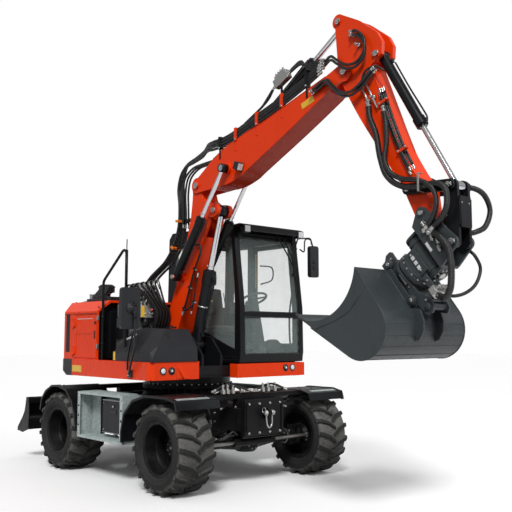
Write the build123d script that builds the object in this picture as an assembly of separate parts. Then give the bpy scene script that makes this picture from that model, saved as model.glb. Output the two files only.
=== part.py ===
"""Wheeled excavator, 10 tonne class, with a two-piece boom, a dozer blade at the rear
and a tilting, turning coupler with a wide grading bucket.

Millimetres, +X forward, +Y left, +Z up. The origin lies on the ground under the middle of
the whole machine's length. Shapes are drawn about the swing axis and moved once, by SWING_X.
"""
from build123d import *
import math
import os

# Driving sizes of the whole machine
SWING_X = -1020.0          # swing axis, measured from the origin
WHEELBASE = 2350.0
TRACK = 2100.0             # between the tyres' middle planes
FRONT_X = WHEELBASE / 2    # axles, from the swing axis
REAR_X = -WHEELBASE / 2
TYRE_R = 500.0
TYRE_W = 490.0
RIM_R = 285.0
SKIRT_Z = 1220.0           # underside of the upper structure
DECK_Z = 1430.0            # top of the skirts
HALF_W = 1150.0            # upper structure, half width
BOOM_Y = -250.0            # middle plane of boom, arm and bucket
FIT = 0.3                  # seat clearance between pieces that touch
RUN = 6.0                  # running clearance between pieces that move

# Pins of the boom and its cylinders, as (x, z)
FOOT_PIN = (10.0, 1630.0)
MAIN_FOOT = (510.0, 1620.0)
MAIN_EYE = (1000.0, 3260.0)
KNEE_PIN = (678.0, 3608.0)
ADJUST_FOOT = (372.0, 2471.0)
ADJUST_EYE = (1311.0, 3713.0)
ARM_PIN = (3173.0, 4414.0)
ARM_CYL_FOOT = (1780.0, 4195.0)
ARM_CYL_EYE = (3074.0, 4985.0)
BUCKET_CYL_FOOT = (3570.0, 4500.0)
ROCKER_PIN = (3935.0, 3085.0)
LINK_PIN = (4390.0, 3060.0)
TIP_PIN = (4085.0, 2843.0)
HITCH_REAR = (4405.0, 2555.0)

# Tilting and turning coupler: its tilt axis runs along the slope, its turn axis across it
TILT_CENTRE = (4071.0, 2430.0)
TILT_SLOPE = -53.0
PIN_SPREAD = 430.0         # between the two bucket pins
PIN_D = 45.0
TURN_DROP = 302.0          # from the tilt axis to the bucket pins
PIN_SHIFT = 30.0           # bucket pins' middle, beyond the turn axis

# Blade linkage, as (x, z): lower arms, upper links and the lift cylinders
ARM_ROOT = (REAR_X - 385, 500.0)
LINK_ROOT = (REAR_X - 445, 700.0)
ARM_END = (REAR_X - 860, 480.0)
LINK_END = (REAR_X - 920, 680.0)
LIFT_FOOT = (REAR_X - 425, 860.0)
LIFT_EYE = (REAR_X - 725, 540.0)
BLADE_HALF = 1250.0
LIFT_Y = 295.0             # arms and lift cylinders, from the middle plane
LINK_Y = 150.0
TOW_PLACE = (FRONT_X + 420, 845.0)
TOW_BORE = 42.0
TOW_T = 30.0               # thickness of the tow lug

# Vertical hinges of the doors
HINGE_R = 8.0
HINGE_L = 90.0
HINGE_OUT = 12.0           # hinge axis, outside the skin


def aft(dx, z):
    """A point in x and z, measured along from the rear axle."""
    return (REAR_X + dx, z)


def fore(dx, z):
    """A point in x and z, measured along from the front axle."""
    return (FRONT_X + dx, z)


def side(y):
    return Plane(origin=(0, y, 0), x_dir=(1, 0, 0), z_dir=(0, -1, 0))


def slab(shape, y0, y1):
    """A sketch drawn in x and z, as a plate from y0 to y1."""
    return extrude(side(y1) * shape, y1 - y0)


def twin(shape, middle, gap, thick):
    """Two like plates either side of a middle plane, with a gap between them."""
    near = slab(shape, middle - gap / 2 - thick, middle - gap / 2)
    far = slab(shape, middle + gap / 2, middle + gap / 2 + thick)
    return near + far


def flat(shape, z0, z1):
    """A sketch drawn in x and y, as a slab from z0 to z1."""
    return extrude(Plane.XY.offset(z0) * shape, z1 - z0)


def face_on(shape, x0, x1):
    """A sketch drawn in y and z, as a slab from x0 to x1."""
    return extrude(Plane(origin=(x0, 0, 0), x_dir=(0, 1, 0), z_dir=(1, 0, 0)) * shape, x1 - x0)


def outline(*points):
    return make_face(Polyline(*points, close=True))


def rounded(radius, *points):
    face = outline(*points)
    return fillet(face.vertices(), radius)


def disc(pin, radius):
    return Pos(pin[0], pin[1]) * Circle(radius)


def box(x0, x1, y0, y1, z0, z1):
    return Pos((x0 + x1) / 2, (y0 + y1) / 2, (z0 + z1) / 2) * Box(x1 - x0, y1 - y0, z1 - z0)


def pin(place, radius, y0, y1):
    """A cross pin along y through the point place, given as (x, z)."""
    return slab(disc(place, radius), y0, y1)


def link(a, b, ra, rb):
    """The outline of a bar with round ends about a and b."""
    return make_hull(disc(a, ra).edges() + disc(b, rb).edges())


def tube_route(points, radii, diameter):
    """A round pipe along straight runs joined by tangent arcs."""
    path = FilletPolyline(*points, radius=radii) if len(points) > 2 else Polyline(*points)
    section = Plane(origin=path @ 0, z_dir=path % 0) * Circle(diameter / 2)
    return sweep(section, path=path)


def mirror_y(shape):
    return mirror(shape, about=Plane.XZ)


def gap_of(a, b):
    return math.hypot(b[0] - a[0], b[1] - a[1])


def trace(path, thick):
    """A strip of constant thickness along a polyline drawn in x and z."""
    strip = None
    ordered = [path @ 0]
    for edge in path.edges():
        ordered.append(edge @ 1)
    for a, b in zip(ordered, ordered[1:]):
        piece = make_hull((Pos(a.X, a.Y) * Circle(thick / 2)).edges()
                          + (Pos(b.X, b.Y) * Circle(thick / 2)).edges())
        strip = piece if strip is None else strip + piece
    return strip


def hinge(spot, heights, moving, fixed):
    """Vertical hinges at spot, whose local y points into the body.

    moving and fixed are the leaves as (x0, x1, y0, y1). Returns what the door gains, the
    bores cut from it, and the pins and knuckles of the body that holds it.
    """
    gains = []
    bores = []
    holds = []
    for z in heights:
        gains.append(spot * Pos(0, 0, z) * Cylinder(HINGE_R, HINGE_L))
        gains.append(spot * box(*moving, z - HINGE_L / 2, z + HINGE_L / 2))
        bores.append(spot * Pos(0, 0, z) * Cylinder(HINGE_R / 2 + FIT, HINGE_L + 2))
        holds.append(spot * Pos(0, 0, z) * Cylinder(HINGE_R / 2, HINGE_L + 20))
        for s in (-1, 1):
            knuckle_z = z + s * (HINGE_L / 2 + 8)
            holds.append(spot * Pos(0, 0, knuckle_z) * Cylinder(HINGE_R, 12))
            holds.append(spot * box(*fixed, knuckle_z - 6, knuckle_z + 6))
    return gains, bores, holds


def barrel_and_rod(foot, eye, y, bore, rod, strokes, head, widths, ends):
    """A hydraulic cylinder: barrel about the foot pin, rod about the eye pin.

    bore and rod are radii, strokes is how far the rod can go in and out from rest, head is
    the head's length, widths and ends are the width and radius of the foot and the eye.
    """
    length = gap_of(foot, eye)
    wall = 9.0
    out = bore + wall
    frame = Plane(origin=(foot[0], y, foot[1]),
                  x_dir=(eye[0] - foot[0], 0, eye[1] - foot[1]), z_dir=(0, -1, 0))
    turn = Rot(0, 90, 0)
    base = ends[0] * 0.7
    start = ends[0] + 12
    piston_at = start + strokes[0] + 15
    reach = piston_at + 50 + strokes[1] + 45
    tube = Pos((base + reach) / 2, 0, 0) * turn * Cylinder(out, reach - base)
    collar = Pos(reach - head / 2, 0, 0) * turn * Cylinder(out + 9, head)
    nose = Pos(reach + 9, 0, 0) * turn * Cylinder(rod + 16, 18)
    body = tube + collar + nose + Cylinder(ends[0], widths[0])
    body -= Pos((start + reach - 30) / 2, 0, 0) * turn * Cylinder(bore, reach - 30 - start)
    body -= Pos(reach, 0, 0) * turn * Cylinder(rod + 0.5, 120)
    shaft = Pos((piston_at + length) / 2, 0, 0) * turn * Cylinder(rod, length - piston_at)
    piston = Pos(piston_at + 25, 0, 0) * turn * Cylinder(bore - 0.5, 50)
    eye_boss = Pos(length, 0, 0) * Cylinder(ends[1], widths[1])
    return frame * body, frame * (shaft + piston + eye_boss)


# Wheels, drawn about their own centre with the axle along y and the outer side at -y
LUGS = 18
TREAD_R = 468.0
LUG_W = 44.0
HALF_TYRE = TYRE_W / 2
BEAD = 185.6               # half width of the bead between the rim's flanges
FLANGE_R = 302.0


def tyre():
    """Tyre with chevron lugs; seen from the front the chevrons point down."""
    carcass = revolve(
        Plane.YZ * outline((-BEAD, RIM_R + FIT), (BEAD, RIM_R + FIT), (BEAD + 6, FLANGE_R + FIT),
                           (HALF_TYRE - 36, FLANGE_R + 1), (HALF_TYRE - 4, 345),
                           (HALF_TYRE - 6, 400), (HALF_TYRE - 30, 448),
                           (HALF_TYRE - 60, TREAD_R), (60 - HALF_TYRE, TREAD_R),
                           (30 - HALF_TYRE, 448), (6 - HALF_TYRE, 400), (4 - HALF_TYRE, 345),
                           (36 - HALF_TYRE, FLANGE_R + 1), (-BEAD - 6, FLANGE_R + FIT)),
        Axis.Y)
    crown = revolve(
        Plane.YZ * outline((-HALF_TYRE, 425), (HALF_TYRE, 425), (HALF_TYRE, 466),
                           (HALF_TYRE - 45, TYRE_R - 6), (HALF_TYRE - 110, TYRE_R),
                           (110 - HALF_TYRE, TYRE_R), (45 - HALF_TYRE, TYRE_R - 6),
                           (-HALF_TYRE, 466)), Axis.Y)
    half = LUG_W / 2
    bar = outline((-14, -10 - half), (115, 62 - half), (HALF_TYRE, 104 - half),
                  (HALF_TYRE, 104 + half), (108, 66 + half), (-14, half - 4))
    block = extrude(Plane(origin=(430, 0, 0), x_dir=(0, 1, 0), z_dir=(1, 0, 0)) * bar, 90)
    block = block & crown
    pitch = 360 / LUGS
    left = [Rot(0, -pitch * i, 0) * block for i in range(LUGS)]
    other = Rot(0, pitch / 2, 0) * mirror_y(block)
    right = [Rot(0, -pitch * i, 0) * other for i in range(LUGS)]
    return carcass + left + right


HUB_IN = 95.0              # the rim's disc lies this far inboard of the middle plane
STUB_R = 58.0


def rim():
    """Deep rim with its disc and the planetary hub cap that turns with it."""
    barrel = revolve(
        Plane.YZ * outline((-205, 270), (-205, FLANGE_R), (-192, FLANGE_R), (-186, RIM_R),
                           (186, RIM_R), (192, FLANGE_R), (205, FLANGE_R), (205, 270), (180, 262),
                           (60, 262), (40, 250), (-40, 250), (-60, 262), (-180, 262)), Axis.Y)
    dish = revolve(
        Plane.YZ * outline((HUB_IN - 12, 60), (HUB_IN - 12, 165), (HUB_IN - 30, 200),
                           (HUB_IN - 30, 266), (HUB_IN - 18, 266), (HUB_IN - 18, 206),
                           (HUB_IN, 171), (HUB_IN, 60)), Axis.Y)
    cap = revolve(
        Plane.YZ * outline((HUB_IN, STUB_R + FIT), (HUB_IN, 130), (HUB_IN - 12, 130),
                           (HUB_IN - 12, 112), (-5, 108), (-20, 92), (-20, 60), (-32, 52),
                           (-32, 0), (-14, 0), (-14, STUB_R + FIT)), Axis.Y)
    body = barrel + dish + cap
    studs = [Rot(0, 36 * i, 0) * Pos(148, HUB_IN - 20, 0) * Rot(90, 0, 0) * Cylinder(11, 24)
             for i in range(10)]
    return body + studs


# Undercarriage
FRAME_HALF = 330.0
FRAME_LOW = 640.0
FRAME_TOP = 900.0
RING_R = 560.0
RING_Z = 1120.0            # joint between the fixed and the turning ring
AXLE_Z = TYRE_R
KING_Y = TRACK / 2 - 170    # kingpins of the front wheels
KING_R = 26.0
EAR_R = 44.0               # fork ears about the kingpin
STEER_MAX = 0.49           # radians
STEER_ARM = 150.0          # from the kingpins' plane to the steering rod
STEER_ROD = 22.0
STEER_PIN = 13.0
FENDER_TOP = 1062.0
FENDER_IN = TRACK / 2 - 350
FENDER_OUT = TRACK / 2 + 250
STEP_X0 = REAR_X + 555
STEP_X1 = FRONT_X - 720
STEP_OUT = -TRACK / 2 - 220
STEP_IN = 50 - TRACK / 2


def hollow_beam(x0, x1, half, z0, z1, wall):
    return box(x0, x1, -half, half, z0, z1) - box(x0 + wall, x1 - wall, wall - half, half - wall,
                                                 z0 + wall, z1 - wall)


def chassis_frame():
    """Welded centre frame with the ring pedestal, axle brackets and the front tow lug."""
    beam = hollow_beam(REAR_X - 325, FRONT_X + 265, FRAME_HALF, FRAME_LOW, FRAME_TOP, 14)
    rear = REAR_X + 415
    front = FRONT_X - 415
    belly = slab(outline((rear, FRAME_LOW + 5), (rear + 200, 520), (front - 200, 520),
                         (front, FRAME_LOW + 5)), -300, 300)
    belly -= slab(outline((rear + 40, FRAME_LOW + 5), (rear + 215, 534), (front - 215, 534),
                          (front - 40, FRAME_LOW + 5)), -286, 286)
    pedestal = Pos(0, 0, (FRAME_TOP + 1070) / 2 - 10) * Cone(640, RING_R - 10, 1090 - FRAME_TOP)
    pedestal -= Pos(0, 0, 1000) * Cylinder(RING_R - 60, 260)
    ring = Pos(0, 0, (1070 + RING_Z) / 2) * Cylinder(RING_R + 30, RING_Z - 1070)
    ring -= Pos(0, 0, 1100) * Cylinder(RING_R - 60, 120)
    bolts = [Rot(0, 0, 10 * i) * Pos(RING_R + 12, 0, 1050) * Cylinder(11, 50) for i in range(36)]
    deck = box(-640, 640, -560, 560, FRAME_TOP - 12, FRAME_TOP + 6)
    deck -= Pos(0, 0, FRAME_TOP) * Cylinder(RING_R - 60, 60)
    outriggers = []
    for x0 in (STEP_X0, STEP_X1 - 100):
        reach = -STEP_IN - FIT
        arm = box(x0, x0 + 100, -reach, reach, 905, 1000)
        outriggers.append(arm - box(x0 + 10, x0 + 90, 10 - reach, reach - 10, 915, 990))
    reach = FENDER_IN + 180
    crossbar = box(FRONT_X + 125, FRONT_X + 220, -reach, reach, 1010, FENDER_TOP - 4 - FIT)
    riser = box(FRONT_X + 125, FRONT_X + 220, -300, 300, FRAME_TOP - 5, 1015)
    rear_bar = box(REAR_X - 125, REAR_X - 25, -reach, reach, 1010, 1065)
    rear_riser = box(REAR_X - 125, REAR_X - 25, -300, 300, FRAME_TOP - 5, 1015)
    tip = FRONT_X + 345
    nose = slab(rounded(12, (tip - 80, 560), (tip - 40, 560), (tip, 600), (tip, 1000),
                        (tip - 80, 1000)), -300, 300)
    nose -= box(tip - 120, tip - 14, -286, 286, 575, 985)
    # front axle cradle and rear axle brackets
    cradle = [box(x, x + 24, -150, 150, 560, FRAME_LOW + 5) 
              for x in (FRONT_X - 190, FRONT_X + 166)]
    swing_pin = Pos(FRONT_X, 0, 590) * Rot(0, 90, 0) * Cylinder(34, 380)
    saddles = [box(REAR_X - 90, REAR_X + 90, s * 250 - 45, s * 250 + 45, AXLE_Z + 125, FRAME_LOW + 5)
               for s in (-1, 1)]
    # tow lug on the nose, with a real bore for a shackle
    x, z = TOW_PLACE
    lug = slab(rounded(16, (tip - 20, z - 85), (tip - 20, z + 70), (x + 5, z + 48),
                       (x + 42, z + 20), (x + 42, z - 22), (x + 5, z - 50)),
               -TOW_T / 2, TOW_T / 2)
    lug -= pin(TOW_PLACE, TOW_BORE / 2, -TOW_T, TOW_T)
    # rear towers that carry the blade's arms, links and cylinders
    towers = [slab(outline(aft(-305, 440), aft(-335, 440), aft(-335, 900), aft(-305, 900)),
                   -LIFT_Y - 64, LIFT_Y + 64)]
    arm_plate = outline(aft(-305, 440), aft(-415, 440), aft(-435, 500), aft(-425, 560),
                        aft(-475, 840), aft(-475, 900), aft(-305, 900))
    link_plate = outline(aft(-315, 640), aft(-485, 660), aft(-485, 740), aft(-315, 760))
    for s in (-1, 1):
        for off in (-55, 55):
            y = s * LIFT_Y + off
            towers.append(slab(arm_plate, y - 9, y + 9))
        for off in (-35, 35):
            y = s * LINK_Y + off
            towers.append(slab(link_plate, y - 8, y + 8))
        towers += [pin(place, 20, s * LIFT_Y - 64, s * LIFT_Y + 64)
                   for place in (ARM_ROOT, LIFT_FOOT)]
        towers.append(pin(LINK_ROOT, 20, s * LINK_Y - 43, s * LINK_Y + 43))
    frame = (beam + belly + pedestal + ring + deck + outriggers + crossbar + riser + rear_bar
             + rear_riser + nose + cradle + swing_pin + saddles + lug + towers)
    return frame + bolts


def axle_tube(y0, y1, r0, r1):
    """A round or tapered length of axle along y."""
    shape = Cylinder(r0, y1 - y0) if r0 == r1 else Cone(r0, r1, y1 - y0)
    return Pos(0, (y0 + y1) / 2, 0) * Rot(-90, 0, 0) * shape


def rear_axle():
    body = Sphere(185) & Box(330, 400, 270)
    body += Pos(120, 0, 0) * Rot(0, 90, 0) * Cylinder(95, 200)
    inner_end = TRACK / 2 - HUB_IN - 6
    for s in (-1, 1):
        half = (axle_tube(120, 430, 120, 82) + axle_tube(430, inner_end - 190, 82, 82)
                + axle_tube(inner_end - 190, inner_end - 150, 82, 140)
                + axle_tube(inner_end - 150, inner_end, 140, 140)
                + axle_tube(inner_end, TRACK / 2 - 20, STUB_R, STUB_R))
        half += box(-90, 90, 205, 295, 40, 125)
        body += half if s > 0 else mirror_y(half)
    return Pos(REAR_X, 0, AXLE_Z) * body


def front_axle():
    """Steering axle that hangs on the frame's pin; its forks hold the knuckles."""
    body = Sphere(170) & Box(300, 380, 260)
    body += Pos(-110, 0, 0) * Rot(0, 90, 0) * Cylinder(55, 170)
    body += box(-120, 120, -95, 95, 60, 130)
    body -= Pos(0, 0, 90) * Rot(0, 90, 0) * Cylinder(34 + FIT, 400)
    ear_plan = make_hull((Pos(0, KING_Y) * Circle(EAR_R)).edges()
                         + (Pos(0, KING_Y - 110) * Rectangle(2 * EAR_R, 20)).edges())
    ears = flat(ear_plan, 84, 120) + flat(ear_plan, -120, -84)
    ears -= Pos(0, KING_Y, 0) * Cylinder(KING_R + FIT, 300)
    wall = box(-EAR_R, EAR_R, KING_Y - 150, KING_Y - 110, -120, 120)
    fork = ears + wall
    for s in (-1, 1):
        half = axle_tube(120, 400, 110, 75) + axle_tube(400, KING_Y - 120, 75, 75) + fork
        body += half if s > 0 else mirror_y(half)
    jack = Pos(STEER_ARM, 0, 0) * Rot(90, 0, 0) * Cylinder(48, 620)
    jack += box(60, STEER_ARM, -300, -250, -35, 35)
    jack += box(60, STEER_ARM, 250, 300, -35, 35)
    body += jack
    body -= Pos(STEER_ARM, 0, 0) * Rot(90, 0, 0) * Cylinder(38, 580)
    body -= Pos(STEER_ARM, 0, 0) * Rot(90, 0, 0) * Cylinder(STEER_ROD + 0.5, 700)
    return Pos(FRONT_X, 0, AXLE_Z) * body


def knuckle():
    """Left knuckle: kingpin boss, hub spindle and the slotted steering arm."""
    boss = Pos(0, KING_Y, 0) * Cylinder(52, 2 * 79)
    boss += Pos(0, KING_Y, 0) * Cylinder(KING_R, 2 * 124)
    reach = TRACK / 2 - HUB_IN - RUN
    spindle = (axle_tube(KING_Y + 30, reach, 70, 110)
               + axle_tube(reach, TRACK / 2 - 20, STUB_R, STUB_R))
    spindle &= (box(-200, 200, KING_Y + 20, 1300, -78, 78)
                + box(-200, 200, KING_Y + 58, 1300, -130, 130))
    slot_end = STEER_ARM / math.cos(STEER_MAX)
    plan = make_hull((Pos(0, KING_Y) * Circle(50)).edges()
                     + (Pos(slot_end - 6, KING_Y) * Circle(30)).edges())
    plan -= make_hull((Pos(STEER_ARM, KING_Y) * Circle(STEER_PIN + 3.5)).edges()
                      + (Pos(slot_end, KING_Y) * Circle(STEER_PIN + 3.5)).edges())
    return Pos(FRONT_X, 0, AXLE_Z) * (boss + spindle + flat(plan, -52, -30))


def steering_rod():
    """Rod of the steering cylinder; its end pins ride in the knuckles' slots."""
    rod = Pos(STEER_ARM, 0, 0) * Rot(90, 0, 0) * Cylinder(STEER_ROD, 2 * KING_Y)
    piston = Pos(STEER_ARM, 0, 0) * Rot(90, 0, 0) * Cylinder(37.5, 60)
    ends = [Pos(STEER_ARM, s * KING_Y, 0) * Cylinder(STEER_ROD + 3, 2 * STEER_ROD + 4)
            for s in (-1, 1)]
    pins = [Pos(STEER_ARM, s * KING_Y, -38) * Cylinder(STEER_PIN, 60) for s in (-1, 1)]
    return Pos(FRONT_X, 0, AXLE_Z) * (rod + piston + ends + pins)


def fender(front):
    """Right fender plate: an arched sheet with a rolled outer lip."""
    t = 8
    if front:
        path = Polyline(fore(395, 945), fore(370, 1028), fore(225, FENDER_TOP),
                        fore(-215, FENDER_TOP), fore(-475, 990), fore(-650, 830),
                        fore(-701, 640), fore(-701, 520))
    else:
        path = Polyline(aft(535, 620), aft(515, 740), aft(435, 900), aft(275, 1035), aft(55, 1082),
                        aft(-125, 1070), aft(-305, 990), aft(-415, 880), aft(-445, 750))
    plate = slab(trace(path, t), -FENDER_OUT, -FENDER_IN)
    lip = slab(trace(path, 26), -FENDER_OUT, -FENDER_OUT + 40)
    return plate + lip


def fenders():
    right = [fender(True), fender(False)]
    return right + [mirror_y(f) for f in right]


def step_box():
    """Right side steps: galvanised frame with two treads round a tool box."""
    y0 = STEP_OUT
    y1 = STEP_IN
    frame = box(STEP_X0, STEP_X1, y0, y1, 470, 500) + box(STEP_X0, STEP_X1, y0, y1, 1005, 1035)
    for x in (STEP_X0, STEP_X1 - 60):
        frame += box(x, x + 60, y0, y1, 495, 1010)
    frame -= box(STEP_X0 + 8, STEP_X0 + 61, y0 + 8, y1 - 8, 500, 1005)
    frame -= box(STEP_X1 - 61, STEP_X1 - 8, y0 + 8, y1 - 8, 500, 1005)
    frame += box(STEP_X0 + 60, STEP_X0 + 260, y1 - 90, y1 - 80, 495, 1010)
    frame += box(STEP_X0 + 470, STEP_X1 - 60, y1 - 180, y1, 560, 960)
    frame -= box(STEP_X0 + 478, STEP_X1 - 68, y1 - 172, y1 - 8, 568, 952)
    frame += box(STEP_X0 + 600, STEP_X0 + 640, y1 - 100, y1 - 60, 495, 565)
    return frame


# Upper structure
CAB_X0 = -600.0
CAB_X1 = 985.0
CAB_IN = 80.0
CAB_OUT = 1170.0
CAB_Z0 = 1400.0
CAB_TOP = 3160.0
POST = 70.0
GLASS = 6.0
DOOR_X0 = 0.0
DOOR_X1 = 880.0
DOOR_Z0 = 1440.0
DOOR_Z1 = 3010.0
DOOR_T = 44.0
BRACKET_GAP = 258.0        # between the boom bracket's plates
BRACKET_T = 32.0
TAIL_R = 1720.0            # tail swing radius
TAIL_X = -1300.0           # where the side turns into the round tail
PANEL_X = -990.0           # rear edge of the side door
PANEL_F = -395.0           # front edge of the side door
HOOD_TOP = 2190.0
SKIRT_T = 24.0
LAMP_R = 45.0              # round lamps let into the skirts
LAMP_Z = 1325.0
LAMP_Y_RIGHT = (-990.0, -870.0)
LAMP_Y_LEFT = (830.0, 950.0)


def tail_sector(radius, z0, z1, x_front, half_w):
    """A slab bounded by the round tail, both flanks and a straight front."""
    round_tail = Pos(0, 0, (z0 + z1) / 2) * Cylinder(radius, z1 - z0)
    return round_tail & box(-2000, x_front, -half_w, half_w, z0, z1)


def turntable():
    """Turning frame: ring, floor plate, boom bracket and the cab's floor beams."""
    ring = Pos(0, 0, (RING_Z + RUN + SKIRT_Z + 30) / 2) * Cylinder(
        RING_R, SKIRT_Z + 30 - RING_Z - RUN)
    ring -= Pos(0, 0, 1180) * Cylinder(RING_R - 70, 200)
    spigot = Pos(0, 0, RING_Z - 5) * Cylinder(RING_R - 60 - FIT, 50)
    ring += spigot - Pos(0, 0, RING_Z) * Cylinder(RING_R - 110, 100)
    z0 = SKIRT_Z + 10
    floor = tail_sector(1640, z0, z0 + 30, 840, 1080)
    reach_side = HALF_W + 20 - SKIRT_T - FIT
    floor += box(-990, 740, -reach_side, reach_side, z0, z0 + 30)
    floor -= Pos(0, 0, SKIRT_Z) * Cylinder(200, 200)
    keel = []
    for s in (-1, 1):
        y = BOOM_Y + s * (BRACKET_GAP + BRACKET_T) / 2
        shape = outline((-1400, SKIRT_Z + 35), (840, SKIRT_Z + 35), (840, 1500), (640, 1720),
                        (420, 1740), (200, 1800), (-140, 1800), (-300, 1600), (-620, DECK_Z),
                        (-1400, DECK_Z))
        plate = slab(shape, y - BRACKET_T / 2, y + BRACKET_T / 2)
        keel.append(plate)
    bosses = []
    for place, radius in ((FOOT_PIN, 75), (MAIN_FOOT, 75)):
        for s in (-1, 1):
            y0 = BOOM_Y + s * (BRACKET_GAP / 2 + BRACKET_T) - (20 if s < 0 else 0)
            bosses.append(pin(place, radius, y0, y0 + 20))
    reach = BRACKET_GAP / 2 + BRACKET_T + 20
    pins = [pin(FOOT_PIN, 35, BOOM_Y - reach, BOOM_Y + reach),
            pin(MAIN_FOOT, 35, BOOM_Y - reach, BOOM_Y + reach)]
    beams = [box(-560, 960, 130, 190, SKIRT_Z + 35, DECK_Z - 40),
             box(-560, 960, 1040, 1100, SKIRT_Z + 35, DECK_Z - 40),
             box(-1400, 840, -1040, -980, SKIRT_Z + 35, DECK_Z - 40)]
    cross = [box(790, 870 - SKIRT_T - FIT, -1040, 1100, SKIRT_Z + 35, DECK_Z - 60),
             box(-620, -560, -1040, 1100, SKIRT_Z + 35, DECK_Z - 60)]
    return ring + floor + keel + bosses + pins + beams + cross


def counterweight():
    """Cast weight that closes the tail below the hood."""
    z0 = SKIRT_Z - 5
    z1 = DECK_Z - FIT
    cast = tail_sector(TAIL_R, z0, z1, -1000, HALF_W)
    low = Pos(0, 0, z0 + 30) * Cone(TAIL_R - 70, TAIL_R, 60)
    cast = cast & (low + Pos(0, 0, (z0 + 60 + z1) / 2) * Cylinder(TAIL_R, z1 - z0 - 60))
    cast -= tail_sector(1640 + RUN, SKIRT_Z + 4, SKIRT_Z + 40 + FIT, 0, 1080 + RUN)
    cast -= box(-1410, -900, -1060, 1060, SKIRT_Z + 20, z1 + 10)
    return cast


SHELL = 30.0


def hood():
    """Engine hood: top and flanks, open where the rear door and the side door close it."""
    z0 = DECK_Z + FIT
    body = tail_sector(TAIL_R - 10, z0, HOOD_TOP, -395, HALF_W - 4)
    slope = Plane.YZ * outline((-HALF_W - 10, z0 - 10), (HALF_W + 10, z0 - 10),
                               (HALF_W + 10, 2040), (HALF_W - 190, HOOD_TOP + 5),
                               (190 - HALF_W, HOOD_TOP + 5), (-HALF_W - 10, 2040))
    body = body & (Pos(-1800, 0, 0) * extrude(slope, 1500))
    back = outline((-1800, z0 - 10), (-395, z0 - 10), (-395, HOOD_TOP + 10),
                   (-1450, HOOD_TOP + 10), (-1800, 1990))
    body = body & slab(back, -1300, 1300)
    inner = tail_sector(TAIL_R - 10 - SHELL, z0 - 10, HOOD_TOP - SHELL, -395 + 10,
                        HALF_W - 4 - SHELL)
    slope_in = Plane.YZ * outline((-HALF_W, z0 - 20), (HALF_W, z0 - 20), (HALF_W, 2015),
                                  (HALF_W - 200, HOOD_TOP - SHELL), (200 - HALF_W, HOOD_TOP - SHELL),
                                  (-HALF_W, 2015))
    inner = inner & (Pos(-1800, 0, 0) * extrude(slope_in, 1500))
    back_in = outline((-1760, z0 - 20), (-380, z0 - 20), (-380, HOOD_TOP - SHELL),
                      (-1440, HOOD_TOP - SHELL), (-1760, 1970))
    inner = inner & slab(back_in, -1300, 1300)
    cab_room = CAB_X0 - RUN
    body -= box(cab_room, 0, CAB_IN - RUN, 1300, z0 - 20, HOOD_TOP + 20)
    inner -= box(cab_room - SHELL, 0, CAB_IN - RUN - SHELL, 1300, z0 - 20, HOOD_TOP + 20)
    wall = body - inner
    wall -= door_space(0)
    wall -= rear_space(0)
    wall -= Pos(-1330, -700, HOOD_TOP) * Cylinder(46, 400)
    return wall + side_hinge()[2] + rear_hinge()[2]


DOOR_TOP = 2030.0
REAR_TOP = 1930.0
REAR_HALF = 760.0


def door_space(gap):
    return box(PANEL_X + gap, PANEL_F - 6 - gap, -HALF_W - 50, -HALF_W + 40,
               DECK_Z + 15 + gap, DOOR_TOP - 20 - gap)


def rear_space(gap):
    return (box(-1900, -1380, -REAR_HALF + gap, REAR_HALF - gap, DECK_Z + 20 + gap,
                REAR_TOP - gap))


def side_hinge():
    spot = Pos(PANEL_X, -HALF_W - HINGE_OUT, 0)
    return hinge(spot, (1540, 1900), (0, 40, -4, 14), (-40, 0, -4, 18))


def rear_hinge():
    """The rear door's hinges stand square to the round tail, at the opening's left edge."""
    turn = math.asin((REAR_HALF - RUN / 2) / (TAIL_R - 10))
    away = TAIL_R - 10 + HINGE_OUT
    spot = Pos(-away * math.cos(turn), away * math.sin(turn), 0) * Rot(
        0, 0, -90 - math.degrees(turn))
    return hinge(spot, (1560, 1840), (0, 40, -4, 15), (-40, 0, -4, 15))


def side_door():
    """Right flank door beside the engine, hinged at its rear edge."""
    panel = box(PANEL_X + RUN, PANEL_F - 12, -HALF_W, -HALF_W + 24, DECK_Z + 21, DOOR_TOP - 26)
    pocket = box(PANEL_X + 60, PANEL_F - 70, -HALF_W - 1, -HALF_W + 5, 1480, 1760)
    gains, bores, _ = side_hinge()
    return (panel - pocket) + gains - bores


def rear_door():
    """Curved rear door of the hood with two louvre panels, hinged at its left edge."""
    z0 = DECK_Z + 26
    z1 = REAR_TOP - RUN
    half = REAR_HALF - RUN
    curve = (Pos(0, 0, (z0 + z1) / 2) * Cylinder(TAIL_R - 10, z1 - z0)
             - Pos(0, 0, (z0 + z1) / 2) * Cylinder(TAIL_R - 10 - 26, z1 - z0 + 20))
    panel = curve & box(-1900, -1380, -half, half, z0, z1)
    for row in range(6):
        z = 1560 + 42 * row
        for s in (-1, 1):
            panel -= box(-1900, -1300, s * 380 - 190, s * 380 + 190, z, z + 22)
    gains, bores, _ = rear_hinge()
    return panel + gains - bores


def engine():
    """Plain block that stands on the turning frame's keel plates."""
    return box(-1290, -700, -430, 430, DECK_Z + FIT, 1960)


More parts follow.
